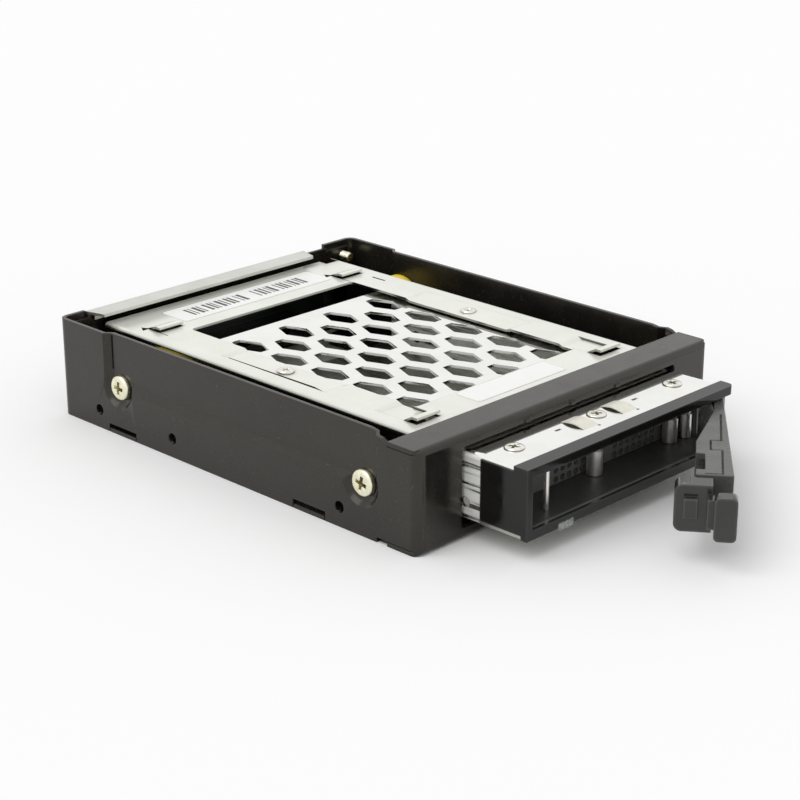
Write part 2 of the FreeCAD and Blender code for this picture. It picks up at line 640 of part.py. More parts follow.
def make_guide_rail():
    """Right-hand rail: a ledge under the tray's edge and a wall beside it."""
    top = CAGE_CEILING - RAIL_TOP_GAP
    section = [(CAGE_INNER, CAGE_FLOOR), (CAGE_INNER, top), (RAIL_INNER, top), (RAIL_INNER, LEDGE_TOP),
               (RAIL_INNER - RAIL_LEDGE_WIDTH, LEDGE_TOP), (RAIL_INNER - RAIL_LEDGE_WIDTH, CAGE_FLOOR)]
    return profile_xz(section, FRONT + RAIL_START, SOCKET_FRONT)


def make_backplane_board():
    """Circuit board against the rear fold of the cage."""
    board = box(-BOARD_HALF, BOARD_HALF, BOARD_FRONT, BOARD_BACK,
                CAGE_FLOOR + BOARD_FLOOR_GAP, CAGE_CEILING - BOARD_TOP_GAP)
    z = CAGE_TOP - REAR_FOLD_HEIGHT / 2
    hole = rod((BOARD_SCREW_X, BOARD_FRONT - PAST, z), (BOARD_SCREW_X, BACK, z),
               BOARD_SCREW_RADIUS + SCREW_CLEARANCE)
    for side in both_sides(hole):
        board = board.cut(side)
    return board


def make_backplane_screws():
    """Screws through the rear fold and the board."""
    seat = (BOARD_SCREW_X, CAGE_BACK, CAGE_TOP - REAR_FOLD_HEIGHT / 2)
    return both_sides(flat_screw(seat, (0, 1, 0), BOARD_SCREW_HEAD_RADIUS, BOARD_SCREW_HEAD,
                                 BOARD_SCREW_RADIUS, CAGE_SHEET + BOARD_THICK))


def make_drive_socket():
    """Socket that meets the drive: a bar with a slot and a contact tongue for each connector."""
    z = TRAY_FLOOR + SOCKET_RISE
    half = SOCKET_HEIGHT / 2
    socket = box(-SOCKET_WIDTH / 2, SOCKET_WIDTH / 2, SOCKET_FRONT, BOARD_FRONT, z - half, z + half)
    for centre, width in SOCKET_SLOTS:
        x0, x1 = centre - width / 2, centre + width / 2
        floor = BOARD_FRONT - SHROUD_WALL
        low, high = z - SLOT_HEIGHT / 2, z + SLOT_HEIGHT / 2
        socket = socket.cut(box(x0, x1, SOCKET_FRONT - PAST, floor, low, high))
        tongue = box(x0 + SHROUD_WALL, x1 - SHROUD_WALL, SOCKET_FRONT + SHROUD_WALL, floor,
                     high - TONGUE_HEIGHT, high)
        socket = socket.fuse(tongue)
    return socket.removeSplitter()


def make_rear_connector(x, width):
    """Shrouded plug on the back of the board, with an L-shaped contact tongue."""
    z = REAR_CONNECTOR_Z
    half, rise = width / 2, REAR_CONNECTOR_HEIGHT / 2
    back = BACK - REAR_CONNECTOR_INSET
    plug = box(x - half, x + half, BOARD_BACK, back, z - rise, z + rise)
    inside = half - SHROUD_WALL
    plug = plug.cut(box(x - inside, x + inside, BOARD_BACK + SHROUD_WALL, back + PAST,
                        z - rise + SHROUD_WALL, z + rise - SHROUD_WALL))
    reach = inside - SHROUD_WALL
    tip = back - SHROUD_WALL
    tongue = box(x - reach, x + reach, BOARD_BACK, tip, z - TONGUE_HEIGHT / 2, z + TONGUE_HEIGHT / 2)
    hook = box(x - reach, x - reach + TONGUE_HEIGHT, BOARD_BACK, tip, z - TONGUE_HEIGHT, z)
    return plug.fuse(tongue).fuse(hook).removeSplitter()


def hexagon_hole(x, y):
    """Elongated hexagon through the top of the tray."""
    points = [(x - HEX_HALF_FLAT, y - HEX_HALF_LENGTH), (x + HEX_HALF_FLAT, y - HEX_HALF_LENGTH),
              (x + HEX_HALF_WIDTH, y), (x + HEX_HALF_FLAT, y + HEX_HALF_LENGTH),
              (x - HEX_HALF_FLAT, y + HEX_HALF_LENGTH), (x - HEX_HALF_WIDTH, y)]
    return profile_xy(points, TRAY_CEILING - TRAY_SHEET, TRAY_TOP + TRAY_SHEET)


def hexagon_holes():
    """Staggered columns of hexagons from the rear edge forward, as many as the cover has room for."""
    holes = []
    for column in range(-HEX_COLUMNS, HEX_COLUMNS + 1):
        y = TRAY_REAR - HEX_REAR_MARGIN
        if column % 2 == 0:
            y -= HEX_PITCH_Y / 2
        while y > TRAY_FACE + HEX_FRONT_MARGIN:
            holes.append(hexagon_hole(column * HEX_PITCH_X, y))
            y -= HEX_PITCH_Y
    return holes


def spring_finger(x):
    """Thin arched finger that stays joined to the cover at its rear end, and the slot round it."""
    start = TRAY_FACE + FINGER_FROM_FACE
    end = start + FINGER_LENGTH
    left, right = x - FINGER_WIDTH / 2, x + FINGER_WIDTH / 2
    slot = box(left - FINGER_SLOT, right + FINGER_SLOT, start - FINGER_SLOT, end,
               TRAY_CEILING - TRAY_SHEET, TRAY_TOP + TRAY_SHEET)
    middle = (start + end) / 2
    bottom = TRAY_TOP - FINGER_SHEET
    lower = Part.Arc(Vector(left, end, bottom), Vector(left, middle, bottom + FINGER_RISE),
                     Vector(left, start, bottom))
    upper = Part.Arc(Vector(left, start, TRAY_TOP), Vector(left, middle, TRAY_TOP + FINGER_RISE),
                     Vector(left, end, TRAY_TOP))
    tip = Part.LineSegment(lower.EndPoint, upper.StartPoint)
    root = Part.LineSegment(upper.EndPoint, lower.StartPoint)
    wire = Part.Wire([curve.toShape() for curve in (lower, tip, upper, root)])
    return slot, Part.Face(wire).extrude(Vector(FINGER_WIDTH, 0, 0))


def make_tray_cover():
    """Folded cover: top with hexagon holes and fingers, and two sides that hold the drive."""
    outer = box(-TRAY_OUTER, TRAY_OUTER, COVER_FRONT, TRAY_REAR, TRAY_BOTTOM, TRAY_TOP)
    outer = round_edges(outer, TRAY_BEND, DEPTH, lambda middle: near(middle.z, TRAY_TOP))
    inner = box(-TRAY_INNER, TRAY_INNER, COVER_FRONT - PAST, TRAY_REAR + PAST,
                TRAY_BOTTOM - PAST, TRAY_CEILING)
    inner = round_edges(inner, TRAY_BEND - TRAY_SHEET, DEPTH, lambda middle: near(middle.z, TRAY_CEILING))
    cover = outer.cut(inner)
    cover = cover.cut(box(-TRAY_OUTER - PAST, TRAY_OUTER + PAST, COVER_FRONT - PAST, SIDE_FRONT,
                          TRAY_BOTTOM - PAST, TRAY_CEILING))
    cover = cover.cut(Part.makeCompound(hexagon_holes()))
    for x in FINGERS_X:
        slot, finger = spring_finger(x)
        cover = cover.cut(slot).fuse(finger)

    low, high = TRAY_CEILING - TRAY_SHEET, TRAY_TOP + TRAY_SHEET
    for x in (-COVER_SCREW_X, 0, COVER_SCREW_X):
        cover = cover.cut(rod((x, SCREW_ROW, low), (x, SCREW_ROW, high), COVER_HOLE_RADIUS))
    half_x, half_y = SMALL_SLOT_WIDTH / 2, SMALL_SLOT_DEPTH / 2
    for x in SMALL_SLOTS_X:
        cover = cover.cut(box(x - half_x, x + half_x, SCREW_ROW - half_y, SCREW_ROW + half_y, low, high))
    hole_y = TRAY_FACE + SMALL_HOLE_FROM_FACE
    for x in SMALL_HOLES_X:
        cover = cover.cut(rod((x, hole_y, low), (x, hole_y, high), SMALL_HOLE_RADIUS))

    z = TRAY_FLOOR + DRIVE_HOLE_HEIGHT
    drive_hole = DRIVE_REAR - DRIVE_HOLE_FROM_REAR
    side_holes = [(TRAY_FACE + SIDE_HOLE_FROM_FACE, SIDE_HOLE_RADIUS), (drive_hole, DRIVE_HOLE_RADIUS),
                  (drive_hole - DRIVE_HOLE_SPACING, DRIVE_HOLE_RADIUS)]
    for y, radius in side_holes:
        cover = cover.cut(rod((-TRAY_OUTER - PAST, y, z), (TRAY_OUTER + PAST, y, z), radius))
    return cover.removeSplitter()


def make_tray_base():
    """Bottom sheet with the drive's screw holes, wider under the moulded front."""
    base = box(-TRAY_INNER, TRAY_INNER, BASE_FRONT, TRAY_REAR, TRAY_BOTTOM, TRAY_FLOOR)
    base = base.fuse(box(-FRONT_OUTER, FRONT_OUTER, BASE_FRONT, SIDE_FRONT, TRAY_BOTTOM, TRAY_FLOOR))
    base = base.removeSplitter()
    rear_row = DRIVE_REAR - DRIVE_HOLE_FROM_REAR
    for y in (rear_row, rear_row - DRIVE_HOLE_SPACING):
        for x in (-DRIVE_HOLE_WIDTH / 2, DRIVE_HOLE_WIDTH / 2):
            base = base.cut(rod((x, y, TRAY_BOTTOM - PAST), (x, y, TRAY_FLOOR + PAST), DRIVE_HOLE_RADIUS))
    return base


def make_tray_front():
    """Moulded frame on the base: lip, rim, end walls, floor, vented rear wall and an ear for the pin."""
    front = box(-FRONT_OUTER, FRONT_OUTER, TRAY_FACE, SIDE_FRONT, FRONT_BOTTOM, FRONT_TOP)
    front = round_edges(front, LIP_THICK, UP,
                        lambda middle: near(middle.x, FRONT_OUTER) and near(middle.y, TRAY_FACE))
    rear = REAR_WALL_FRONT + REAR_WALL
    wall_end = TRAY_OUTER - TRAY_BEND
    front = front.fuse(box(-wall_end, wall_end, SIDE_FRONT, rear, TRAY_FLOOR, TRAY_CEILING))
    outside = FRONT_OUTER + PAST
    jamb = TRAY_FACE + JAMB_DEPTH
    cuts = [box(-FRONT_INNER, FRONT_INNER, BASE_FRONT, COVER_FRONT, FLOOR_TOP, WINDOW_HIGH),
            box(-FRONT_INNER, FRONT_INNER, COVER_FRONT, REAR_WALL_FRONT, FLOOR_TOP, TRAY_TOP),
            box(-outside, outside, COVER_FRONT, rear + PAST, TRAY_CEILING, FRONT_TOP + PAST),
            box(-outside, outside, BASE_FRONT, rear + PAST, FRONT_BOTTOM - PAST, TRAY_FLOOR),
            box(-FRONT_INNER, outside, TRAY_FACE - PAST, BASE_FRONT, WINDOW_LOW, WINDOW_HIGH),
            box(0, outside, TRAY_FACE, jamb, WINDOW_LOW, WINDOW_HIGH)]
    for cut in cuts:
        front = front.cut(cut)

    ear = box(PIVOT.x - 2 * HUB_RADIUS, FRONT_OUTER - TRAY_FRONT_STEP, COVER_FRONT, jamb,
              WINDOW_HIGH, TRAY_CEILING)
    front = front.fuse(ear).removeSplitter()
    front = front.cut(rod((PIVOT.x, PIVOT.y, WINDOW_LOW), (PIVOT.x, PIVOT.y, TRAY_CEILING), PIN_RADIUS))

    vents = []
    for group, columns in VENT_GROUPS:
        for column in range(columns):
            for row in range(VENT_ROWS):
                x = group + (column - (columns - 1) / 2) * VENT_PITCH
                z = TRAY_FLOOR + VENT_RISE + row * VENT_PITCH
                vents.append(box(x - VENT_HALF, x + VENT_HALF, SIDE_FRONT, rear + PAST,
                                 z - VENT_HALF, z + VENT_HALF))
    front = front.cut(Part.makeCompound(vents))
    return front.cut(make_light_lens())


def make_light_lens():
    """Clear bar let into the lower edge of the lip, standing out below it."""
    half = LENS_WIDTH / 2
    return box(LENS_X - half, LENS_X + half, TRAY_FACE, BASE_FRONT,
               FRONT_BOTTOM - LENS_DROP, FRONT_BOTTOM + LENS_RISE)


def make_tray_cover_screws():
    """Low screws through the cover into the posts."""
    screws = []
    for x in (-COVER_SCREW_X, 0, COVER_SCREW_X):
        screws.append(flat_screw((x, SCREW_ROW, TRAY_TOP), (0, 0, 1), COVER_SCREW_HEAD_RADIUS,
                                 COVER_SCREW_PROUD, COVER_SCREW_RADIUS, COVER_SCREW_LENGTH))
    return screws


def turned_post(x, y, bored):
    """Post that stands on the moulded floor under the cover, thinner in its upper half."""
    middle = (FLOOR_TOP + TRAY_CEILING) / 2
    post = rod((x, y, FLOOR_TOP), (x, y, middle), POST_RADIUS)
    post = post.fuse(rod((x, y, middle), (x, y, TRAY_CEILING), POST_RADIUS - POST_STEP))
    if bored:
        bottom = TRAY_TOP - COVER_SCREW_LENGTH
        post = post.cut(rod((x, y, bottom), (x, y, TRAY_TOP), COVER_HOLE_RADIUS))
    return post


def make_tray_posts():
    """A post under each cover screw and a stop post behind the lever's hub."""
    posts = []
    for x in (-COVER_SCREW_X, 0, COVER_SCREW_X):
        posts.append(turned_post(x, SCREW_ROW, True))
    stop_x = FRONT_INNER - POST_RADIUS - RUN_CLEARANCE
    stop_y = TRAY_FACE + JAMB_DEPTH + POST_RADIUS + RUN_CLEARANCE
    posts.append(turned_post(stop_x, stop_y, False))
    return posts


def arm_point(s, n):
    """Place of a point s along the closed arm and n outward from the pivot's line."""
    return (PIVOT.x - s, PIVOT.y - n)


def arm_block(s0, s1, n0, n1, z0, z1):
    """Block between two arm points."""
    x1, y1 = arm_point(s0, n0)
    x0, y0 = arm_point(s1, n1)
    return box(x0, x1, y0, y1, z0, z1)


def swing_open(shape):
    """Turn a piece that was made with the lever closed to the open rest angle."""
    turned = shape.copy()
    turned.rotate(PIVOT, UP, LEVER_OPEN)
    return turned


def make_latch_pin():
    """Thin pin that the lock catches when the lever is closed."""
    x, y = arm_point(LATCH_PIN_S, LATCH_PIN_N)
    return rod((x, y, FLOOR_TOP), (x, y, TRAY_CEILING), LATCH_PIN_RADIUS)


def make_lever_pin():
    """Pin that the lever turns on, from the moulded floor to the ear."""
    return rod((PIVOT.x, PIVOT.y, FLOOR_TOP), (PIVOT.x, PIVOT.y, TRAY_CEILING), PIN_RADIUS)


def arm_outer(s):
    """Distance of the arm's outer face from the pivot's line, s along the arm."""
    return ARM_ROOT + (ARM_OUTER - ARM_ROOT) * s / ARM_END


def make_lever():
    """Moulded arm: round hub, grooves and notch on top, ribbed hollow and a tongue for the lock."""
    outline = [arm_point(0, ARM_ROOT), arm_point(ARM_END, ARM_OUTER), arm_point(ARM_END, -ARM_INNER),
               arm_point(ARM_END - ARM_INNER_LENGTH, -ARM_INNER), arm_point(ARM_WAIST_AT, ARM_WAIST),
               arm_point(0, -HUB_RADIUS)]
    arm = profile_xy(outline, LEVER_LOW, LEVER_HIGH)
    hub_low, hub_high = (PIVOT.x, PIVOT.y, LEVER_LOW), (PIVOT.x, PIVOT.y, LEVER_HIGH)
    arm = arm.fuse(rod(hub_low, hub_high, HUB_RADIUS)).removeSplitter()

    start, end = ARM_POCKET_START, ARM_END - ARM_POCKET_END
    mouth = -ARM_INNER - PAST
    pocket = [arm_point(start, arm_outer(start) - ARM_WALL), arm_point(end, arm_outer(end) - ARM_WALL),
              arm_point(end, mouth), arm_point(start, mouth)]
    pocket = profile_xy(pocket, LEVER_LOW + ARM_WALL, LEVER_HIGH - ARM_WALL)
    for back in ARM_RIBS_FROM_END:
        rib = ARM_END - back
        pocket = pocket.cut(arm_block(rib - ARM_RIB / 2, rib + ARM_RIB / 2, mouth - PAST, ARM_OUTER,
                                      LEVER_LOW, LEVER_HIGH))
    arm = arm.cut(pocket)
    seam = [(SEAM_START, SEAM_FROM_END[0][1])] + [(ARM_END - back, n) for back, n in SEAM_FROM_END]
    for (s0, n0), (s1, n1) in zip(seam, seam[1:]):
        arm = arm.cut(arm_block(min(s0, s1) - SEAM_WIDTH / 2, max(s0, s1) + SEAM_WIDTH / 2,
                                min(n0, n1) - SEAM_WIDTH / 2, max(n0, n1) + SEAM_WIDTH / 2,
                                LEVER_HIGH - SEAM_DEPTH, LEVER_HIGH + PAST))
    notch_end = ARM_END - ARM_NOTCH_FROM_END
    arm = arm.cut(arm_block(notch_end - ARM_NOTCH_LENGTH, notch_end, mouth, -ARM_NOTCH_EDGE,
                            LEVER_HIGH - ARM_NOTCH_DEPTH, LEVER_HIGH + PAST))

    tongue = arm_block(ARM_END, TONGUE_END, -TONGUE_INNER, -TONGUE_OUTER,
                       LEVER_LOW + TONGUE_MARGIN, LEVER_HIGH - TONGUE_MARGIN)
    arm = arm.fuse(tongue).removeSplitter()
    return swing_open(arm.cut(rod(hub_low, hub_high, PIN_RADIUS + PIN_CLEARANCE)))


def make_lever_lock():
    """Sliding end piece: cup round the tongue, finger plate, web between them, and the catch."""
    start = ARM_END + LOCK_GAP
    top = LEVER_HIGH - BLOCK_DROP
    block = arm_block(start, BLOCK_END, -BLOCK_INNER, 0, LEVER_LOW, top)
    inner_y = arm_point(0, -BLOCK_INNER)[1]
    block = round_edges(block, BLOCK_RADIUS, ACROSS, lambda middle: near(middle.y, inner_y))
    plate = arm_block(TAB_END - TAB_THICK, TAB_END, TAB_INNER, TAB_OUTER, LEVER_LOW, LEVER_HIGH - TAB_DROP)
    plate = round_edges(plate, BLOCK_WALL, ACROSS)
    web = arm_block(BLOCK_END - BLOCK_WALL, TAB_END - TAB_THICK / 2, -BLOCK_WALL, TAB_INNER + BLOCK_WALL,
                    LEVER_LOW + TONGUE_MARGIN, top - TONGUE_MARGIN)
    lock = block.fuse(plate).fuse(web)

    pocket = arm_block(start - PAST, BLOCK_END - BLOCK_WALL, -BLOCK_INNER + BLOCK_WALL,
                       -TONGUE_INNER - LOCK_GAP - BLOCK_WALL, LEVER_HIGH - BLOCK_POCKET, LEVER_HIGH + PAST)
    margin = TONGUE_MARGIN - LOCK_GAP
    channel = arm_block(start - PAST, TONGUE_END + LOCK_GAP, -TONGUE_INNER - LOCK_GAP,
                        -TONGUE_OUTER + LOCK_GAP, LEVER_LOW + margin, LEVER_HIGH - margin)
    lock = lock.cut(pocket).cut(channel)

    catch_outer = LATCH_PIN_N - LATCH_PIN_RADIUS - LOCK_GAP
    y0, y1 = arm_point(0, catch_outer)[1], arm_point(0, catch_outer - CATCH_DEPTH)[1]
    low = (LEVER_LOW + LEVER_HIGH - CATCH_HEIGHT) / 2
    high = low + CATCH_HEIGHT
    root, tip = arm_point(BLOCK_END, 0)[0], arm_point(BLOCK_END + LOCK_TRAVEL, 0)[0]
    wedge = [(root, low), (root, high), (tip, high), (root - CATCH_FOOT, low)]
    return swing_open(lock.fuse(profile_xz(wedge, y0, y1)).removeSplitter())


os.makedirs("parts", exist_ok=True)

FRONT_DAMPER, REAR_DAMPER = (make_damper(offset) for offset in SCREWS_FROM_FRONT)
RIGHT_RAIL = make_guide_rail()
PIECES = {
    "outer_shell": make_shell(),
    "bottom_plate": make_bottom_plate(),
    "rear_plate": make_rear_plate(),
    "rear_strip": make_rear_strip(),
    "rear_plate_screws": Part.makeCompound(make_rear_screws()),
    "cage_cover": make_cage_cover(),
    "cage_base": make_cage_base(),
    "cage_top_screws": Part.makeCompound(make_cage_top_screws()),
    "shell_screws": Part.makeCompound(make_shell_screws()),
    "right_damper": REAR_DAMPER,
    "left_damper": mirror_x(REAR_DAMPER),
    "right_front_damper": FRONT_DAMPER,
    "left_front_damper": mirror_x(FRONT_DAMPER),
    "right_guide_rail": RIGHT_RAIL,
    "left_guide_rail": mirror_x(RIGHT_RAIL),
    "backplane_board": make_backplane_board(),
    "drive_socket": make_drive_socket(),
    "rear_data_connector": make_rear_connector(DATA_X, DATA_WIDTH),
    "rear_power_connector": make_rear_connector(POWER_X, POWER_WIDTH),
    "backplane_screws": Part.makeCompound(make_backplane_screws()),
    "tray_cover": make_tray_cover(),
    "tray_base": make_tray_base(),
    "tray_front": make_tray_front(),
    "tray_cover_screws": Part.makeCompound(make_tray_cover_screws()),
    "tray_posts": Part.makeCompound(make_tray_posts()),
    "latch_pin": make_latch_pin(),
    "lever_pin": make_lever_pin(),
    "light_lens": make_light_lens(),
    "lever": make_lever(),
    "lever_lock": make_lever_lock(),
}
for node, shape in PIECES.items():
    shape.exportStep("parts/" + node + ".step")
    print(node, shape.isValid(), len(shape.Solids), round(shape.Volume, 1))
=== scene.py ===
"""Looks of the drive cage: finishes, reshaped sheets and mouldings, screws, rings, labels, contacts and the stage."""
import json
import math

import bmesh
import bpy
from mathutils import Matrix, Vector


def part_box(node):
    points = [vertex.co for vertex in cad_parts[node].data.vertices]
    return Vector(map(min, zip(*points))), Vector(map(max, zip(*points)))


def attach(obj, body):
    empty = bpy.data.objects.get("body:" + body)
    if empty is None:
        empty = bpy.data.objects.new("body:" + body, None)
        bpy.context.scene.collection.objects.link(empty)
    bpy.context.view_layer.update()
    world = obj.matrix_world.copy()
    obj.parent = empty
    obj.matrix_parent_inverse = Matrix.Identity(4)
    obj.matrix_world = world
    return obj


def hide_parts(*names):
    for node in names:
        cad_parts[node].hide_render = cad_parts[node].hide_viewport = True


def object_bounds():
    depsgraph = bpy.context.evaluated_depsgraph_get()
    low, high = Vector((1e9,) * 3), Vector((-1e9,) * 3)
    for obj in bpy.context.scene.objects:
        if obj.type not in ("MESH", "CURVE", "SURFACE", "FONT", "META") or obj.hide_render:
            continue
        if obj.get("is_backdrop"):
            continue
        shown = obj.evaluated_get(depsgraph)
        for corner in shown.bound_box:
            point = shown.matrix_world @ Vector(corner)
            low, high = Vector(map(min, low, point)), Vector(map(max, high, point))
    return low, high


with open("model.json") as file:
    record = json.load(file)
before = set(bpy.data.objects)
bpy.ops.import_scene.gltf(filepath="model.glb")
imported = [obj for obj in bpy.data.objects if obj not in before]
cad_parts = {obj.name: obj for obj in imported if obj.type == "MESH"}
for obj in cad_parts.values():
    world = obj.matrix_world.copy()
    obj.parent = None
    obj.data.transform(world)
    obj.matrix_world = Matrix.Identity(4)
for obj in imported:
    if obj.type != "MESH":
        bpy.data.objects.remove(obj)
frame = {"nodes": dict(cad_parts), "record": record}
NODES = frame["nodes"]
CAD_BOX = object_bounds()
MM = 0.001

# Camera, solved from the shell's known sizes in the photo
CAMERA_PLACE = Vector((-331.7, -333.0, 183.6)) * MM
CAMERA_AZIMUTH = -45.517
CAMERA_ELEVATION = 20.689
CAMERA_FOCUS_PX = 2014.4
PHOTO_PX = 800
SENSOR = 36.0
CAMERA_CLIP = (0.01, 50.0)

# Light: a white room and one soft sun
ROOM_LIGHT = 0.72
SUN_STRENGTH = 1.0
SUN_FROM = Vector((-0.55, 0.1, 0.83))
SUN_ANGLE = math.radians(50)
FLOOR_BOUNCE = 0.8
FLOOR_HALF = 4.0
FLOOR_DROP = 0.05

# Range of a noise that is stretched to the full range of a finish
NOISE_RANGE = (0.3, 0.7)

# Finishes: box of the tray front's matt hollow, its tone (a painted sheen) and added roughness, and the painted shade
# of the cage's upright sides
FRONT_RECESS = ((-35.4, -79.6, 6.0), (40.0, -64.0, 19.6))
MATT_BORDER = 0.3
PAINTED_MATT_SHEEN = (0.18, 0.18, 0.17, 1)
MATT_ROUGHER = 0.35
PAINTED_SIDE_SHADE = (0.32, 0.32, 0.29, 1)

# Angles between faces above which an edge stays sharp, or is rounded
SHARP_SHEET = math.radians(15)
SHARP_TURNED = math.radians(40)
SHARP_RING = math.radians(50)
ROUNDED_FROM = math.radians(40)

# Mouldings with rounded edges: name, node, body, slot and width of the rounding
MOULDINGS = (
    ("tray_front_moulding", "tray_front", "tray", "black_plastic", 0.3),
    ("lever_moulding", "lever", "lever", "grey_plastic", 0.3),
    ("lock_moulding", "lever_lock", "lock", "grey_plastic", 0.5),
)

# Screw head from its top to its seat, as shares of its radius and height, and the steps of a turned shape
HEAD_PROFILE = ((0.78, 0.97), (0.9, 0.88), (0.98, 0.66), (1.0, 0.45), (1.0, 0.0))
HEAD_BEVEL = 0.02
TURN_STEPS = 48

# Screw recess, as shares of the head's radius, and the share of the shank's length that it may reach into
CROSS_LENGTH = 0.54
CROSS_WIDTH = 0.15
CROSS_TAPER = 0.5
CROSS_DEPTH = 0.75
CROSS_IN_SHANK = 0.6

# Ringed shanks
THREAD_PITCH = 0.5
THREAD_DEPTH = 0.22
TIP_SHARE = 0.75

# Screws: radius and height of the head, radius and length of the shank; turns of the recesses in degrees
SHELL_SCREW = (3.2, 1.5, 1.45, 10.0)
SHELL_SCREW_Z = 12.3
FRONT_TURNS, REAR_TURNS = (-12, 25), (-5, 8)
TOP_SCREWS = (
    ("cage_top_screw", "housing", "nickel", (2.0, 0.7, 1.4, 0.6), ((-1, 5), (1, 30))),
    ("tray_cover_screw", "tray", "nickel", (2.3, 0.45, 1.0, 5.0), ((-1, 20), (0, 50), (1, 75))),
)
BACK_SCREWS = (
    ("rear_plate_screw", "housing", "zinc", (2.4, 1.0, 1.4, 4.0), ((-1, 15), (1, 60))),
    ("backplane_screw", "housing", "nickel", (2.3, 1.2, 1.2, 2.2), ((-1, 35), (1, 80))),
)

# Labels on the cage's flat top: its height, and X, Y of two corners of each label
CAGE_TOP = 22.4
REAR_LABEL = ((-25.0, 43.8), (25.6, 53.6))
FRONT_LABEL = ((-15.5, -47.6), (14.9, -40.2))
LABEL_THICK = 0.08
LABEL_CORNER = 0.8
CORNER_STEPS = 4
PRINT_THICK = 0.012
BAR_GROUPS = ((-20.0, -1.0), (2.6, 20.0))
BAR_Y = (46.2, 51.4)
BAR_GAPS = (0.6, 0.9, 0.5, 1.4, 0.7, 0.5, 1.0)
BAR_WIDTHS = (0.7, 0.4, 1.0, 0.5, 0.85)

# Rubber rings: share of the width that each rim takes, depth of the waist, bore, and rounding of the rims
RING_RIM = 0.3
RING_WAIST = 0.5
RING_BORE = 1.6
RING_SOFT = 0.3
RING_ROUND = 0.09
FRONT_RING_LESS = 1.3

# Spring fingers of the tray cover: the plain ones of the node, then the bridges that stand for them
NODE_FINGERS = ((-11.65, -6.35), (2.15, 7.45))
NODE_FINGER_Y = (-73.65, -66.45)
COVER_Z = (20.2, 20.9)
BRIDGES_X = ((-9.3, -4.5), (4.5, 9.3))
BRIDGE_Y = (-73.2, -66.2)
BRIDGE_RISE = 0.72
BRIDGE_SHEET = 0.3
BRIDGE_SINK = 0.05
BRIDGE_BOW = 0.8
BRIDGE_STEPS = 24
BRIDGE_LAP = 0.02
ALMOND_WIDTH = 0.9
ALMOND_END = 0.5
ALMOND_STEPS = 16
COVER_INSET = 0.004
CUT_PAST = 1

# Reliefs at the two ends of the bend over the bezel
BEND_TOP = 24.4
BEND_HALF = 50.8
BEND_Y = (-64.0, -61.2)
RELIEF_RADIUS = 2.2
RELIEF_STEPS = 10

# Wall tops beside the bezel: (Y, Z) of the web that fills the notch and of the slope cut behind it
WALL_X = (49.802, 50.798)
WALL_WEB = ((-49.9, 24.9), (-51.4, 24.65), (-53.1, 23.75), (-53.1, 22.9), (-49.9, 22.9))
WALL_SLOPE = ((-46.3, 25.43), (-50.1, 24.86), (-50.1, 26.5), (-46.3, 26.5))
WALL_SLOPE_X = (47.0, 51.5)

# Creases at the rear foot of the walls' emboss: X, Y and Z ranges
CREASE_X = (48.9, 49.75)
CREASE_Y = (42.62, 43.06)
CREASE_Z = (16.2, 24.9)

# Middle tabs of the cage cover: gap outside the left one (X, Y), and slope outside the right one (X, Z)
TAB_GAP = ((-35.6, 16.7), (-34.4, 16.7), (-34.15, 4.0), (-33.9, -13.0), (-34.7, -16.8), (-35.6, -16.8))
TAB_SLOPE = ((35.7, 22.396), (35.7, 21.5), (28.03, 21.5), (28.03, 21.86))
TAB_GAP_Z = (20.96, 23.0)
TAB_SLOPE_Y = (-18.2, 18.1)

# Tray posts: place of each, radius at its foot, and shares of the height where it is turned down
POSTS = ((-27.8, -69.0, 1.6), (0.0, -69.0, 1.85), (27.8, -69.0, 1.85), (32.8, -69.6, 1.6))
POST_CHAMFER = 0.15
POST_STEP = 0.16
POST_GROOVE = 0.4
POST_GROOVES = (0.46, 0.74)
GROOVE_FLOOR = 0.2
GROOVE_MOUTH = 0.3

# Contacts of the connectors: X and count of each socket row, count of each rear row, and how far they stop short
CONTACT_PITCH = 1.27
CONTACT_WIDTH = 0.8
CONTACT_THICK = 0.12
CONTACT_CORNER = 0.25
SOCKET_ROWS = (("socket_signal_contacts", -13.0, 5), ("socket_power_contacts", 4.5, 15))
SOCKET_FACE = 0.1
SOCKET_SHORT = (1.4, 1.3)
REAR_ROWS = (("rear_data_connector", 7), ("rear_power_connector", 15))
REAR_SHORT = (1.3, 1.4)
TONGUE_HALF = 0.6


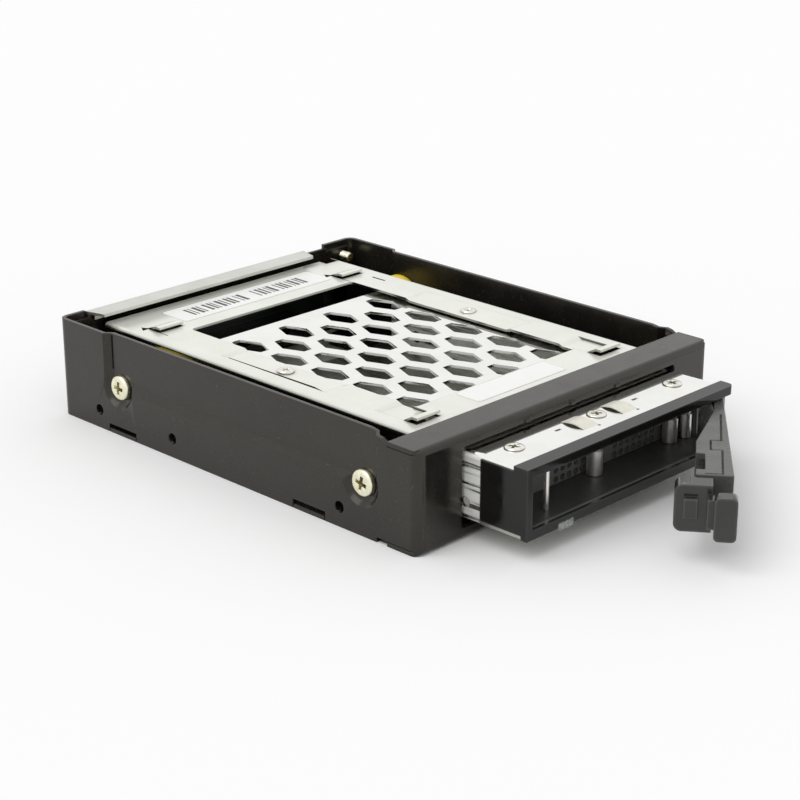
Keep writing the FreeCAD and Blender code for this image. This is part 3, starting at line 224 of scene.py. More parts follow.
class Shader:
    """One material's nodes, with short calls for the nodes that the finishes share."""

    def __init__(self, name):
        self.material = bpy.data.materials.new(name)
        self.material.use_nodes = True
        self.tree = self.material.node_tree
        self.bsdf = self.tree.nodes["Principled BSDF"]
        self.coords = self.tree.nodes.new("ShaderNodeTexCoord").outputs["Object"]

    def set(self, **values):
        """Uniform values, on the shader's own sockets; an underscore in a name stands for a space."""
        for name, value in values.items():
            self.bsdf.inputs[name.replace("_", " ")].default_value = value
        return self

    def link(self, output, socket):
        """Connect an output to one of the shader's own sockets."""
        self.tree.links.new(output, self.bsdf.inputs[socket])

    def node(self, kind, inputs=None, **settings):
        """A node with its settings and its inputs, which are values or other nodes' outputs."""
        made = self.tree.nodes.new(kind)
        for name, value in settings.items():
            setattr(made, name, value)
        for name, value in (inputs or {}).items():
            if isinstance(value, bpy.types.NodeSocket):
                self.tree.links.new(value, made.inputs[name])
            else:
                made.inputs[name].default_value = value
        return made

    def math(self, operation, first, second):
        """Result of a two-input calculation."""
        return self.node("ShaderNodeMath", {0: first, 1: second}, operation=operation).outputs["Value"]

    def stretched(self, x, y, z):
        """Coordinates scaled by axis, so that a grain runs along one of them."""
        return self.node("ShaderNodeMapping", {"Vector": self.coords, "Scale": (x, y, z)}).outputs["Vector"]

    def noise(self, size, detail=3.0, coords=None, roughness=0.5):
        """Noise whose features are about size metres across, from 0 to 1."""
        inputs = {"Vector": coords or self.coords, "Scale": 1 / size, "Detail": detail, "Roughness": roughness}
        return self.node("ShaderNodeTexNoise", inputs).outputs["Fac"]

    def remap(self, value, low, high, to_low, to_high):
        """Value moved from one range to another and clamped there."""
        inputs = {"Value": value, "From Min": low, "From Max": high, "To Min": to_low, "To Max": to_high}
        return self.node("ShaderNodeMapRange", inputs).outputs["Result"]

    def uneven(self, size, detail, low, high):
        """Noise between two values, as an uneven finish has."""
        return self.remap(self.noise(size, detail), *NOISE_RANGE, low, high)

    def mix(self, factor, first, second):
        """Colour mixed from two colours."""
        made = self.node("ShaderNodeMix", data_type="RGBA")
        for socket, value in (("Factor_Float", factor), ("A_Color", first), ("B_Color", second)):
            target = [item for item in made.inputs if item.identifier == socket][0]
            if isinstance(value, bpy.types.NodeSocket):
                self.tree.links.new(value, target)
            else:
                target.default_value = value
        return [item for item in made.outputs if item.identifier == "Result_Color"][0]

    def crevice(self, reach, low, high, edges=False):
        """1 in the narrow corners and gaps within a reach in metres, or on the outer edges, 0 on open faces."""
        settings = {"samples": 6, "inside": edges, "only_local": edges}
        open_share = self.node("ShaderNodeAmbientOcclusion", {"Distance": reach}, **settings).outputs["AO"]
        return self.remap(open_share, low, high, 1.0, 0.0)

    def inside(self, low, high, soft):
        """1 inside a box, in millimetres, fading to 0 over a soft border."""
        place = self.node("ShaderNodeSeparateXYZ", {"Vector": self.coords})
        share = None
        for axis, start, end in zip("XYZ", low, high):
            value = place.outputs[axis]
            for edge, sign in ((start, 1), (end, -1)):
                a, b = (edge - sign * soft) * MM, (edge + sign * soft) * MM
                step = self.remap(value, min(a, b), max(a, b), 0.5 - 0.5 * sign, 0.5 + 0.5 * sign)
                share = step if share is None else self.math("MULTIPLY", share, step)
        return share

    def upright_side(self):
        """1 on faces that look to the left or right, 0 on the others."""
        normal = self.node("ShaderNodeNewGeometry").outputs["Normal"]
        facing = self.node("ShaderNodeSeparateXYZ", {"Vector": normal}).outputs["X"]
        return self.remap(self.math("ABSOLUTE", facing, 0.0), 0.6, 0.9, 0.0, 1.0)

    def bump(self, height, depth, strength=1.0, edge=0.0):
        """Surface relief of a depth in metres, over edges that are rounded by a small radius."""
        inputs = {"Height": height, "Distance": depth, "Strength": strength}
        if edge:
            inputs["Normal"] = self.node("ShaderNodeBevel", {"Radius": edge}, samples=4).outputs["Normal"]
        self.link(self.node("ShaderNodeBump", inputs).outputs["Normal"], "Normal")


def seen_directly(tree):
    """1 for camera, mirror and glass rays, 0 for rays that only carry light."""
    path = tree.nodes.new("ShaderNodeLightPath")
    seen = path.outputs["Is Camera Ray"]
    for name in ("Is Glossy Ray", "Is Transmission Ray"):
        larger = tree.nodes.new("ShaderNodeMath")
        larger.operation = "MAXIMUM"
        tree.links.new(seen, larger.inputs[0])
        tree.links.new(path.outputs[name], larger.inputs[1])
        seen = larger.outputs[0]
    return seen


def black_paint():
    """Satin black coat with a fine orange peel, soft clouds and a few pale specks."""
    shader = Shader("black_paint").set(Specular_Tint=(1.0, 0.93, 0.85, 1), Specular_IOR_Level=0.54)
    clouds = shader.remap(shader.noise(0.014, 5.0), 0.35, 0.7, 0.0, 1.0)
    coat = shader.mix(clouds, (0.0082, 0.0074, 0.0062, 1), (0.0132, 0.0122, 0.0102, 1))
    specks = shader.remap(shader.noise(0.0005, 2.0), 0.69, 0.76, 0.0, 1.0)
    shader.link(shader.mix(specks, coat, (0.07, 0.068, 0.06, 1)), "Base Color")
    shader.link(shader.uneven(0.005, 6.0, 0.2, 0.3), "Roughness")
    peel = shader.math("ADD", shader.noise(0.0006, 2.0), shader.math("MULTIPLY", shader.noise(0.004, 2.0), 1.5))
    shader.bump(peel, 0.00002, 0.5, edge=0.0004)
    return shader.material


def sheet_metal(name, color, stain, rough_low, rough_high, metal=1.0):
    """Plated sheet with a faint rolling grain, soft stains and painted shade in its narrow corners; where it is
    partly matt, its sides that face left or right are fully metal and darkened as painted shade.
    """
    shader = Shader(name).set(Metallic=metal)
    stains = shader.remap(shader.noise(0.01, 6.0, roughness=0.6), 0.4, 0.75, 0.0, 1.0)
    plate = shader.mix(stains, color, stain)
    if metal < 1:
        # Painted shade: faces that look to the left or right are darkened to a dull grey and made fully metal, as if
        # they lay in shade.
        side = shader.upright_side()
        shader.link(shader.remap(side, 0.0, 1.0, metal, 1.0), "Metallic")
        plate = shader.mix(side, plate, PAINTED_SIDE_SHADE)
    # Painted shade: the colour darkens towards a dark brownish grey in narrow corners and gaps, where shade falls.
    shader.link(shader.mix(shader.crevice(0.0012, 0.5, 0.97), plate, (0.16, 0.155, 0.135, 1)), "Base Color")
    lines = shader.noise(1.0, 4.0, shader.stretched(2200, 60, 2200))
    shader.link(shader.remap(lines, *NOISE_RANGE, rough_low, rough_high), "Roughness")
    shader.bump(lines, 0.000002, 0.3, edge=0.00015)
    return shader.material


def tray_sheet():
    """Mirror-bright sheet with painted shade in its narrow corners, and rubbed streaks on its upright sides."""
    shader = Shader("tray_steel")
    stains = shader.remap(shader.noise(0.012, 5.0, roughness=0.6), 0.45, 0.75, 0.0, 1.0)
    plate = shader.mix(stains, (0.87, 0.87, 0.84, 1), (0.8, 0.795, 0.76, 1))
    # Painted shade: the colour darkens towards a dark grey in narrow corners and gaps, where shade falls.
    shader.link(shader.mix(shader.crevice(0.0008, 0.3, 0.8), plate, (0.12, 0.115, 0.1, 1)), "Base Color")
    side = shader.upright_side()
    streaks = shader.remap(shader.noise(1.0, 3.0, shader.stretched(300, 30, 760)), 0.4, 0.52, 0.0, 0.5)
    fine = shader.uneven(0.003, 4.0, 0.03, 0.07)
    rubbed = shader.math("MULTIPLY", side, streaks)
    shader.link(shader.math("ADD", fine, rubbed), "Roughness")
    shader.link(shader.remap(rubbed, 0.0, 0.5, 1.0, 0.15), "Metallic")
    shader.bump(shader.noise(0.004, 2.0), 0.000002, 0.2, edge=0.00012)
    return shader.material


def plated(name, color, dull, rough, rings=0.0, metal=1.0):
    """Plated steel with a mottled tint, painted shade in its narrow corners and, where asked, fine tool rings round
    Z.
    """
    shader = Shader(name).set(Metallic=metal)
    spots = shader.remap(shader.noise(0.0012, 4.0), 0.35, 0.7, 0.0, 1.0)
    plate = shader.mix(spots, color, dull)
    # Painted shade: the colour darkens towards a dark brown in recesses and narrow gaps, where shade falls.
    shader.link(shader.mix(shader.crevice(0.0006, 0.3, 0.85), plate, (0.1, 0.09, 0.07, 1)), "Base Color")
    shader.link(shader.uneven(0.0005, 3.0, rough, rough + 0.12), "Roughness")
    if rings:
        waves = shader.node("ShaderNodeTexWave", {"Vector": shader.coords, "Scale": 1 / rings},
                            wave_type="BANDS", bands_direction="Z", wave_profile="SAW")
        shader.bump(waves.outputs["Fac"], 0.00004, 0.6, edge=0.00012)
    else:
        shader.bump(shader.noise(0.0004, 2.0), 0.000008, 0.4, edge=0.00012)
    return shader.material


def moulded(name, color, pale, rough, grain, matt_box=None, gloss=0.5, edge=None):
    """Moulded plastic with a fine texture, handling marks, painted highlights on its outer edges, and a matt finish
    with a painted sheen inside a box.
    """
    shader = Shader(name).set(Specular_IOR_Level=gloss)
    cloud = shader.remap(shader.noise(0.006, 5.0), 0.3, 0.75, 0.0, 1.0)
    tone = shader.mix(cloud, color, pale)
    marks = shader.noise(0.004, 6.0, roughness=0.65)
    polish = shader.remap(marks, 0.4, 0.75, rough, rough + 0.18)
    if matt_box:
        matt = shader.inside(*matt_box, MATT_BORDER)
        # Painted sheen: inside the box the black is lightened to a mid grey, standing in for light on the shaded matt
        # hollow; the added roughness is the real matt finish.
        tone = shader.mix(matt, tone, PAINTED_MATT_SHEEN)
        polish = shader.math("ADD", polish, shader.math("MULTIPLY", matt, MATT_ROUGHER))
    if edge:
        # Painted highlight: the outer edges take a paler colour, where light would glint on them.
        tone = shader.mix(shader.crevice(0.0007, 0.5, 0.85, edges=True), tone, edge)
    shader.link(tone, "Base Color")
    shader.link(polish, "Roughness")
    shader.bump(shader.noise(0.0004, 2.0), grain, 0.5, edge=0.00025)
    return shader.material


def yellow_rubber():
    """Bright yellow silicone with a little dust."""
    shader = Shader("yellow_rubber").set(Subsurface_Weight=0.15, Subsurface_Scale=0.002)
    dust = shader.remap(shader.noise(0.0018, 5.0), 0.45, 0.75, 0.0, 1.0)
    shader.link(shader.mix(dust, (0.95, 0.7, 0.03, 1), (0.95, 0.78, 0.13, 1)), "Base Color")
    shader.link(shader.uneven(0.001, 3.0, 0.4, 0.55), "Roughness")
    shader.bump(shader.noise(0.0005, 2.0), 0.00003, 0.5, edge=0.0003)
    return shader.material


def solder_mask():
    """Black circuit board with faintly paler tracks under the mask."""
    shader = Shader("board").set(Coat_Weight=0.3, Coat_Roughness=0.2)
    tracks = shader.node("ShaderNodeTexBrick", {"Vector": shader.coords, "Scale": 260.0, "Mortar Size": 0.03})
    shader.link(shader.mix(tracks.outputs["Fac"], (0.003, 0.006, 0.004, 1), (0.008, 0.016, 0.01, 1)), "Base Color")
    shader.link(shader.uneven(0.002, 3.0, 0.3, 0.45), "Roughness")
    return shader.material


def clear_lens():
    """Frosted clear plastic."""
    shader = Shader("clear_plastic").set(Transmission_Weight=0.75, IOR=1.49)
    haze = shader.uneven(0.0015, 3.0, 0.0, 1.0)
    shader.link(shader.mix(haze, (0.86, 0.88, 0.88, 1), (0.7, 0.73, 0.74, 1)), "Base Color")
    shader.link(shader.uneven(0.0006, 2.0, 0.15, 0.3), "Roughness")
    return shader.material


def label_paper():
    """White film with a faint unevenness."""
    shader = Shader("label_paper").set(Specular_IOR_Level=0.35)
    tone = shader.uneven(0.006, 4.0, 0.0, 1.0)
    shader.link(shader.mix(tone, (0.95, 0.95, 0.93, 1), (0.92, 0.92, 0.9, 1)), "Base Color")
    shader.link(shader.uneven(0.002, 3.0, 0.4, 0.55), "Roughness")
    shader.bump(shader.noise(0.0009, 2.0), 0.00001, 0.3)
    return shader.material


def label_ink():
    """Grey print, thinner where the ribbon missed."""
    shader = Shader("label_ink").set(Specular_IOR_Level=0.3, Roughness=0.55)
    worn = shader.remap(shader.noise(0.0008, 4.0), 0.45, 0.75, 0.0, 1.0)
    shader.link(shader.mix(worn, (0.05, 0.05, 0.05, 1), (0.3, 0.3, 0.29, 1)), "Base Color")
    return shader.material


NICKEL = (0.86, 0.84, 0.78, 1)
DULL_NICKEL = (0.72, 0.69, 0.6, 1)
MATERIALS = {
    "black_paint": black_paint(),
    "pale_steel": sheet_metal("pale_steel", (0.66, 0.67, 0.62, 1), (0.58, 0.59, 0.54, 1), 0.34, 0.46),
    "cage_steel": sheet_metal("cage_steel", (0.845, 0.855, 0.785, 1), (0.775, 0.785, 0.71, 1), 0.15, 0.21,
                              metal=0.25),
    "tray_steel": tray_sheet(),
    "zinc": plated("zinc", (0.92, 0.895, 0.71, 1), (0.8, 0.755, 0.54, 1), 0.22),
    "nickel": plated("nickel", NICKEL, DULL_NICKEL, 0.14),
    # Black plastic: painted highlights on its outer edges, and a painted sheen in the tray front's matt hollow.
    "black_plastic": moulded("black_plastic", (0.006, 0.006, 0.0055, 1), (0.01, 0.0095, 0.009, 1), 0.05, 0.000006,
                             FRONT_RECESS, 0.32, (0.03, 0.03, 0.028, 1)),
    "grey_plastic": moulded("grey_plastic", (0.07, 0.07, 0.0665, 1), (0.09, 0.089, 0.085, 1), 0.24, 0.00002),
    "yellow_rubber": yellow_rubber(),
    "board": solder_mask(),
    "clear_plastic": clear_lens(),
}
PAPER = label_paper()
INK = label_ink()
GOLD = plated("gold", (0.95, 0.72, 0.32, 1), (0.85, 0.6, 0.25, 1), 0.18)
FINGER_STEEL = plated("finger_steel", (0.82, 0.8, 0.71, 1), (0.74, 0.72, 0.62, 1), 0.42, metal=0.4)
OWN_FINISH = {
    "tray_base": sheet_metal("base_steel", (0.5, 0.5, 0.45, 1), (0.42, 0.42, 0.37, 1), 0.24, 0.36),
    "latch_pin": plated("pin_nickel", (0.92, 0.91, 0.88, 1), NICKEL, 0.3),
    "tray_posts": plated("turned_nickel", (0.92, 0.91, 0.88, 1), NICKEL, 0.3, rings=0.0022),
    # The lock's paler edges are painted highlights.
    "lever_lock": moulded("gloss_black", (0.019, 0.0183, 0.0168, 1), (0.028, 0.0268, 0.0248, 1), 0.08, 0.00001,
                          gloss=0.55, edge=(0.075, 0.074, 0.07, 1)),
}


def paint_nodes():
    """Give each CAD node its own finish, or else the finish of its slot."""
    for part in frame["record"]["subparts"]:
        node = NODES[part["node"]]
        node.data.materials.clear()
        node.data.materials.append(OWN_FINISH.get(part["node"], MATERIALS[part["material_slot"]]))


def add_piece(name, mesh, body, slot, replaced=()):
    """Put a mesh in the scene as a piece that rides on a body."""
    piece = bpy.data.objects.new(name, mesh)
    bpy.context.scene.collection.objects.link(piece)
    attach(piece, body)
    if replaced:
        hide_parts(*replaced)
    return piece


def turned(work, profile):
    """Surface of a (radius, height) profile turned round Z, from pole to pole or in a closed loop."""
    rings = []
    for radius, height in profile:
        if radius == 0:
            rings.append([work.verts.new((0, 0, height))])
            continue
        angles = [2 * math.pi * step / TURN_STEPS for step in range(TURN_STEPS)]
        rings.append([work.verts.new((radius * math.cos(a), radius * math.sin(a), height)) for a in angles])
    pairs = list(zip(rings, rings[1:]))
    if profile[0][0]:
        pairs.append((rings[-1], rings[0]))
    for upper, lower in pairs:
        for step in range(TURN_STEPS):
            after = (step + 1) % TURN_STEPS
            corners = [upper[step % len(upper)], lower[step % len(lower)],
                       lower[after % len(lower)], upper[after % len(upper)]]
            work.faces.new(list(dict.fromkeys(corners)))


def cross_prism(work, reach, half_width, top, bottom):
    """Tapered cross-shaped block that cuts a screw's recess."""
    loops = []
    for height, share in ((top, 1.0), (bottom, CROSS_TAPER)):
        a, b = reach * share, half_width * share
        quarter = [(a, -b), (a, b), (b, b)]
        loop = []
        for turn in range(4):
            c, s = round(math.cos(turn * math.pi / 2)), round(math.sin(turn * math.pi / 2))
            loop += [work.verts.new((c * x - s * y, s * x + c * y, height)) for x, y in quarter]
        loops.append(loop)
    work.faces.new(loops[0])
    work.faces.new(list(reversed(loops[1])))
    for step in range(len(loops[0])):
        after = (step + 1) % len(loops[0])
        work.faces.new([loops[0][after], loops[0][step], loops[1][step], loops[1][after]])


def finished_mesh(name, build, *sizes):
    """Mesh of one build function, with its normals made to point outward."""
    work = bmesh.new()
    build(work, *sizes)
    bmesh.ops.recalc_face_normals(work, faces=work.faces)
    mesh = bpy.data.meshes.new(name)
    work.to_mesh(mesh)
    work.free()
    return mesh


def screw_mesh(head_radius, head_height, radius, length):
    """Screw with a rounded flat head, a cross recess and a ringed shank, standing on Z 0."""
    r, h = head_radius, head_height
    profile = [(0, h)] + [(out * r, up * h) for out, up in HEAD_PROFILE] + [(radius, 0)]
    depth = 0.0
    while depth + THREAD_PITCH * MM < length:
        profile.append((radius - THREAD_DEPTH * MM, -depth - THREAD_PITCH * MM / 2))
        depth += THREAD_PITCH * MM
        profile.append((radius, -depth))
    profile += [(TIP_SHARE * radius, -length), (0, -length)]
    screw = bpy.data.objects.new("screw", finished_mesh("screw", turned, profile))
    bottom = h - min(CROSS_DEPTH * r, h + CROSS_IN_SHANK * length)
    cutter_mesh = finished_mesh("cutter", cross_prism, CROSS_LENGTH * r, CROSS_WIDTH * r, 1.05 * h, bottom)
    cutter = bpy.data.objects.new("cutter", cutter_mesh)
    for item in (screw, cutter):
        bpy.context.scene.collection.objects.link(item)
    cut = screw.modifiers.new("recess", "BOOLEAN")
    cut.operation = "DIFFERENCE"
    cut.solver = "EXACT"
    cut.object = cutter
    bevel = screw.modifiers.new("edges", "BEVEL")
    bevel.width = HEAD_BEVEL * r
    bevel.segments = 2
    bevel.limit_method = "ANGLE"
    bevel.angle_limit = ROUNDED_FROM
    mesh = bpy.data.meshes.new_from_object(screw.evaluated_get(bpy.context.evaluated_depsgraph_get()))
    for item in (screw, cutter):
        bpy.data.objects.remove(item)
    return mesh


def add_screws(name, node, body, slot, size, places):
    """Detailed screws in place of a node's plain ones; a place is a seat, an outward axis and a turn."""
    single = screw_mesh(*(value * MM for value in size))
    work = bmesh.new()
    for seat, outward, turn in places:
        start = len(work.verts)
        work.from_mesh(single)
        work.verts.ensure_lookup_table()
        stand = Vector(outward).to_track_quat("Z", "Y").to_matrix().to_4x4()
        place = Matrix.Translation(Vector(seat) * MM) @ stand @ Matrix.Rotation(math.radians(turn), 4, "Z")
        bmesh.ops.transform(work, matrix=place, verts=work.verts[start:])
    mesh = bpy.data.meshes.new(name)
    work.to_mesh(mesh)
    work.free()
    mesh.materials.append(MATERIALS[slot])
    mesh.shade_smooth()
    piece = add_piece(name, mesh, body, slot, (node,))
    smooth = piece.modifiers.new("smooth", "WEIGHTED_NORMAL")
    smooth.keep_sharp = True


def prism(work, outline, axis, start, end):
    """Straight block over an outline in millimetres, which lies across one axis."""
    order = {"X": lambda a, b, along: (along, a, b), "Y": lambda a, b, along: (a, along, b),
             "Z": lambda a, b, along: (a, b, along)}[axis]
    loops = [[work.verts.new(Vector(order(a, b, along)) * MM) for a, b in outline] for along in (start, end)]
    work.faces.new(loops[0])
    work.faces.new(list(reversed(loops[1])))
    for step in range(len(outline)):
        after = (step + 1) % len(outline)
        work.faces.new([loops[0][after], loops[0][step], loops[1][step], loops[1][after]])


def welded(name, node):
    """Copy of a node's mesh and finish, with its split vertices joined."""
    work = bmesh.new()
    work.from_mesh(NODES[node].data)
    bmesh.ops.remove_doubles(work, verts=work.verts, dist=0.001 * MM)
    mesh = bpy.data.meshes.new(name)
    work.to_mesh(mesh)
    work.free()
    mesh.materials.append(NODES[node].data.materials[0])
    mesh.shade_smooth()
    return mesh


def carved(name, node, body, slot, steps):
    """Copy of a node's mesh, joined and cut by blocks in turn, which stands for the node."""
    copy = bpy.data.objects.new("copy", welded(name, node))
    bpy.context.scene.collection.objects.link(copy)
    tools = []
    for operation, outline, axis, start, end in steps:
        tool = bpy.data.objects.new("tool", finished_mesh("tool", prism, outline, axis, start, end))
        bpy.context.scene.collection.objects.link(tool)
        tools.append(tool)
        cut = copy.modifiers.new("cut", "BOOLEAN")
        cut.operation = operation
        cut.solver = "EXACT"
        cut.object = tool
    result = bpy.data.meshes.new_from_object(copy.evaluated_get(bpy.context.evaluated_depsgraph_get()))
    for item in [copy] + tools:
        bpy.data.objects.remove(item)
    result.name = name
    result.materials.clear()
    result.materials.append(NODES[node].data.materials[0])
    result.shade_smooth()
    result.set_sharp_from_angle(angle=SHARP_SHEET)
    piece = add_piece(name, result, body, slot, (node,))
    smooth = piece.modifiers.new("smooth", "WEIGHTED_NORMAL")
    smooth.keep_sharp = True


def rectangle(x0, x1, y0, y1):
    """Corners of a rectangle."""
    return [(x0, y0), (x1, y0), (x1, y1), (x0, y1)]


def arc(center, radius, start, end, steps):
    """Points of an arc, with its angles in degrees."""
    angles = [math.radians(start + (end - start) * step / steps) for step in range(steps + 1)]
    return [(center[0] + radius * math.cos(a), center[1] + radius * math.sin(a)) for a in angles]


def almond(chord, y0, y1, width):
    """Opening between a straight chord and an arc that bows to the left of it."""
    half = (y1 - y0) / 2
    radius = (half * half + width * width) / (2 * width)
    spread = math.degrees(math.asin(half / radius))
    return arc((chord - width + radius, (y0 + y1) / 2), radius, 180 + spread, 180 - spread, ALMOND_STEPS)


def bridge(work, x0, x1):
    """Arched strip along Y, whose ends run into the sheet."""
    y0, y1 = BRIDGE_Y
    rows = []
    for step in range(BRIDGE_STEPS + 1):
        share = step / BRIDGE_STEPS
        y = y0 + (y1 - y0) * share
        top = COVER_Z[1] - BRIDGE_SINK + (BRIDGE_RISE + BRIDGE_SINK) * math.sin(math.pi * share) ** BRIDGE_BOW
        corners = ((x0, top - BRIDGE_SHEET), (x1, top - BRIDGE_SHEET), (x1, top), (x0, top))
        rows.append([work.verts.new(Vector((x, y, z)) * MM) for x, z in corners])
    work.faces.new(rows[0])
    work.faces.new(list(reversed(rows[-1])))
    for before, after in zip(rows, rows[1:]):
        for side in range(4):
            near = (side + 1) % 4
            work.faces.new([before[near], before[side], after[side], after[near]])


def add_tray_cover():
    """Tray cover with its fingers as arched bridges, each with an almond-shaped gap beside it."""
    low, high = COVER_Z[0] + COVER_INSET, COVER_Z[1] - COVER_INSET
    steps = []
    for x0, x1 in NODE_FINGERS:
        steps.append(("UNION", rectangle(x0, x1, *NODE_FINGER_Y), "Z", low, high))
        steps.append(("DIFFERENCE", rectangle(x0, x1, *NODE_FINGER_Y), "Z", high, high + 2 * CUT_PAST))
    y0, y1 = BRIDGE_Y
    for x0, x1 in BRIDGES_X:
        gap = almond(x0, y0 + ALMOND_END, y1 - ALMOND_END, ALMOND_WIDTH)
        steps.append(("DIFFERENCE", gap, "Z", COVER_Z[0] - CUT_PAST, COVER_Z[1] + CUT_PAST))
        under = rectangle(x0 - BRIDGE_LAP, x1, y0 + 2 * ALMOND_END, y1 - 2 * ALMOND_END)
        steps.append(("DIFFERENCE", under, "Z", COVER_Z[0] - CUT_PAST, COVER_Z[1] + CUT_PAST))
    carved("tray_cover_sheet", "tray_cover", "tray", "tray_steel", steps)
    for number, (x0, x1) in enumerate(BRIDGES_X, 1):
        mesh = finished_mesh("cover_finger", bridge, x0, x1)
        mesh.materials.append(FINGER_STEEL)
        mesh.shade_smooth()
        mesh.set_sharp_from_angle(angle=SHARP_TURNED)
        add_piece(f"cover_finger_{number}", mesh, "tray", "tray_steel")


def add_shell():
    """Shell with a relief at each end of the bend over the bezel, walls that slope down to it, and creases."""
    steps = []
    r, top, half = RELIEF_RADIUS, BEND_TOP, BEND_HALF
    for side in (-1, 1):
        corner = arc((half - r, top - r), r, 90, 0, RELIEF_STEPS)
        corner += [(half + CUT_PAST, top - r), (half + CUT_PAST, top + CUT_PAST), (half - r, top + CUT_PAST)]
        outline = [(side * x, z) for x, z in corner]
        steps.append(("DIFFERENCE", outline, "Y", *BEND_Y))
        steps.append(("UNION", WALL_WEB, "X", side * WALL_X[0], side * WALL_X[1]))
        steps.append(("DIFFERENCE", WALL_SLOPE, "X", side * WALL_SLOPE_X[0], side * WALL_SLOPE_X[1]))
        crease = rectangle(side * CREASE_X[0], side * CREASE_X[1], *CREASE_Y)
        steps.append(("DIFFERENCE", crease, "Z", *CREASE_Z))
    carved("shell_sheet", "outer_shell", "housing", "black_paint", steps)


def add_cage_cover():
    """Cage cover with an open gap outside its left tab, and a smooth slope outside its right one."""
    steps = [("DIFFERENCE", TAB_GAP, "Z", *TAB_GAP_Z), ("UNION", TAB_SLOPE, "Y", *TAB_SLOPE_Y)]
    carved("cage_cover_sheet", "cage_cover", "housing", "cage_steel", steps)


def add_posts():
    """Turned posts of the tray, with a groove at each step."""
    low, high = node_box("tray_posts")
    height = high.z - low.z
    work = bmesh.new()
    for x, y, radius in POSTS:
        profile = [(0, 0), (radius - POST_CHAMFER, 0), (radius, POST_CHAMFER)]
        for share in POST_GROOVES:
            middle = share * height
            profile += [(radius, middle - GROOVE_MOUTH), (radius - POST_GROOVE, middle - GROOVE_FLOOR),
                        (radius - POST_GROOVE, middle + GROOVE_FLOOR), (radius - POST_STEP, middle + GROOVE_MOUTH)]
            radius -= POST_STEP
        profile += [(radius, height), (0, height)]
        start = len(work.verts)
        turned(work, [(r * MM, h * MM) for r, h in profile])
        work.verts.ensure_lookup_table()
        bmesh.ops.translate(work, vec=Vector((x, y, low.z)) * MM, verts=work.verts[start:])
    bmesh.ops.recalc_face_normals(work, faces=work.faces)
    mesh = bpy.data.meshes.new("tray_post_set")
    work.to_mesh(mesh)
    work.free()
    mesh.materials.append(NODES["tray_posts"].data.materials[0])
    mesh.shade_smooth()
    mesh.set_sharp_from_angle(angle=SHARP_TURNED)
    add_piece("tray_post_set", mesh, "tray", "nickel", ("tray_posts",))


def add_rings():
    """Waisted rubber rings; the front pair is lower, as nothing of it shows past the bezel."""
    for node in ("left_damper", "right_damper", "left_front_damper", "right_front_damper"):
        low, high = node_box(node)
        radius = (high.z - low.z) / 2 - (FRONT_RING_LESS if "front" in node else 0)
        width, soft, small = high.x - low.x, RING_SOFT, RING_ROUND
        rim, waist = RING_RIM * width, radius - RING_WAIST
        profile = [(RING_BORE, 0), (radius - soft, 0), (radius - small, small), (radius, soft), (radius, rim - soft),
                   (waist, rim + soft), (waist, width - rim - soft), (radius, width - rim + soft),
                   (radius, width - soft), (radius - small, width - small), (radius - soft, width),
                   (RING_BORE, width)]
        mesh = finished_mesh(node + "_ring", turned, [(r * MM, h * MM) for r, h in profile])
        place = Matrix.Translation(Vector((low.x, (low.y + high.y) / 2, (low.z + high.z) / 2)) * MM)
        mesh.transform(place @ Matrix.Rotation(math.radians(90), 4, "Y"))
        mesh.materials.append(MATERIALS["yellow_rubber"])
        mesh.shade_smooth()
        mesh.set_sharp_from_angle(angle=SHARP_RING)
        add_piece(node + "_ring", mesh, "housing", "yellow_rubber", (node,))


def add_softened(name, node, body, slot, width):
    """Copy of a moulded node with rounded edges that catch the light, which stands for the node."""
    piece = add_piece(name, welded(name, node), body, slot, (node,))
    bevel = piece.modifiers.new("edges", "BEVEL")
    bevel.width = width * MM
    bevel.segments = 3
    bevel.limit_method = "ANGLE"
    bevel.angle_limit = ROUNDED_FROM
    smooth = piece.modifiers.new("smooth", "WEIGHTED_NORMAL")
    smooth.keep_sharp = False


def node_box(node):
    """Lowest and highest corner of a node, in millimetres."""
    low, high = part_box(node)
    return Vector(low) / MM, Vector(high) / MM


def add_all_screws():
    """Every screw of the object, at the places and sizes of its node."""
    low, high = node_box("shell_screws")
    radius, height = SHELL_SCREW[:2]
    places = []
    for y, turns in ((low.y + radius, FRONT_TURNS), (high.y - radius, REAR_TURNS)):
        for side, turn in zip((-1, 1), turns):
            places.append(((side * (high.x - height), y, SHELL_SCREW_Z), (side, 0, 0), turn))
    add_screws("shell_screw_set", "shell_screws", "housing", "zinc", SHELL_SCREW, places)

    for name, body, slot, size, turns in TOP_SCREWS:
        low, high = node_box(name + "s")
        radius, height = size[:2]
        places = [((share * (high.x - radius), low.y + radius, high.z - height), (0, 0, 1), turn)
                  for share, turn in turns]
        add_screws(name + "_set", name + "s", body, slot, size, places)

    for name, body, slot, size, turns in BACK_SCREWS:
        low, high = node_box(name + "s")
        radius, height = size[:2]
        places = [((side * (high.x - radius), high.y - height, low.z + radius), (0, 1, 0), turn)
                  for side, turn in turns]
        add_screws(name + "_set", name + "s", body, slot, size, places)


def slab(work, low, high, corner=0.0, material=0):
    """Flat block between two corners, in millimetres, with its upright edges rounded."""
    made = bmesh.ops.create_cube(work, size=1.0)["verts"]
    size = [b - a for a, b in zip(low, high)]
    middle = [(a + b) / 2 for a, b in zip(low, high)]
    matrix = Matrix.Translation(Vector(middle) * MM) @ Matrix.Diagonal(Vector(size) * MM).to_4x4()
    bmesh.ops.transform(work, matrix=matrix, verts=made)
    faces = {face for vert in made for face in vert.link_faces}
    for face in faces:
        face.material_index = material
    if corner:
        upright = [edge for vert in made for edge in vert.link_edges
                   if abs(edge.verts[0].co.z - edge.verts[1].co.z) > 0.5 * size[2] * MM]
        bmesh.ops.bevel(work, geom=list(dict.fromkeys(upright)), offset=corner * MM,
                        segments=CORNER_STEPS, affect="EDGES", profile=0.5, material=-1)


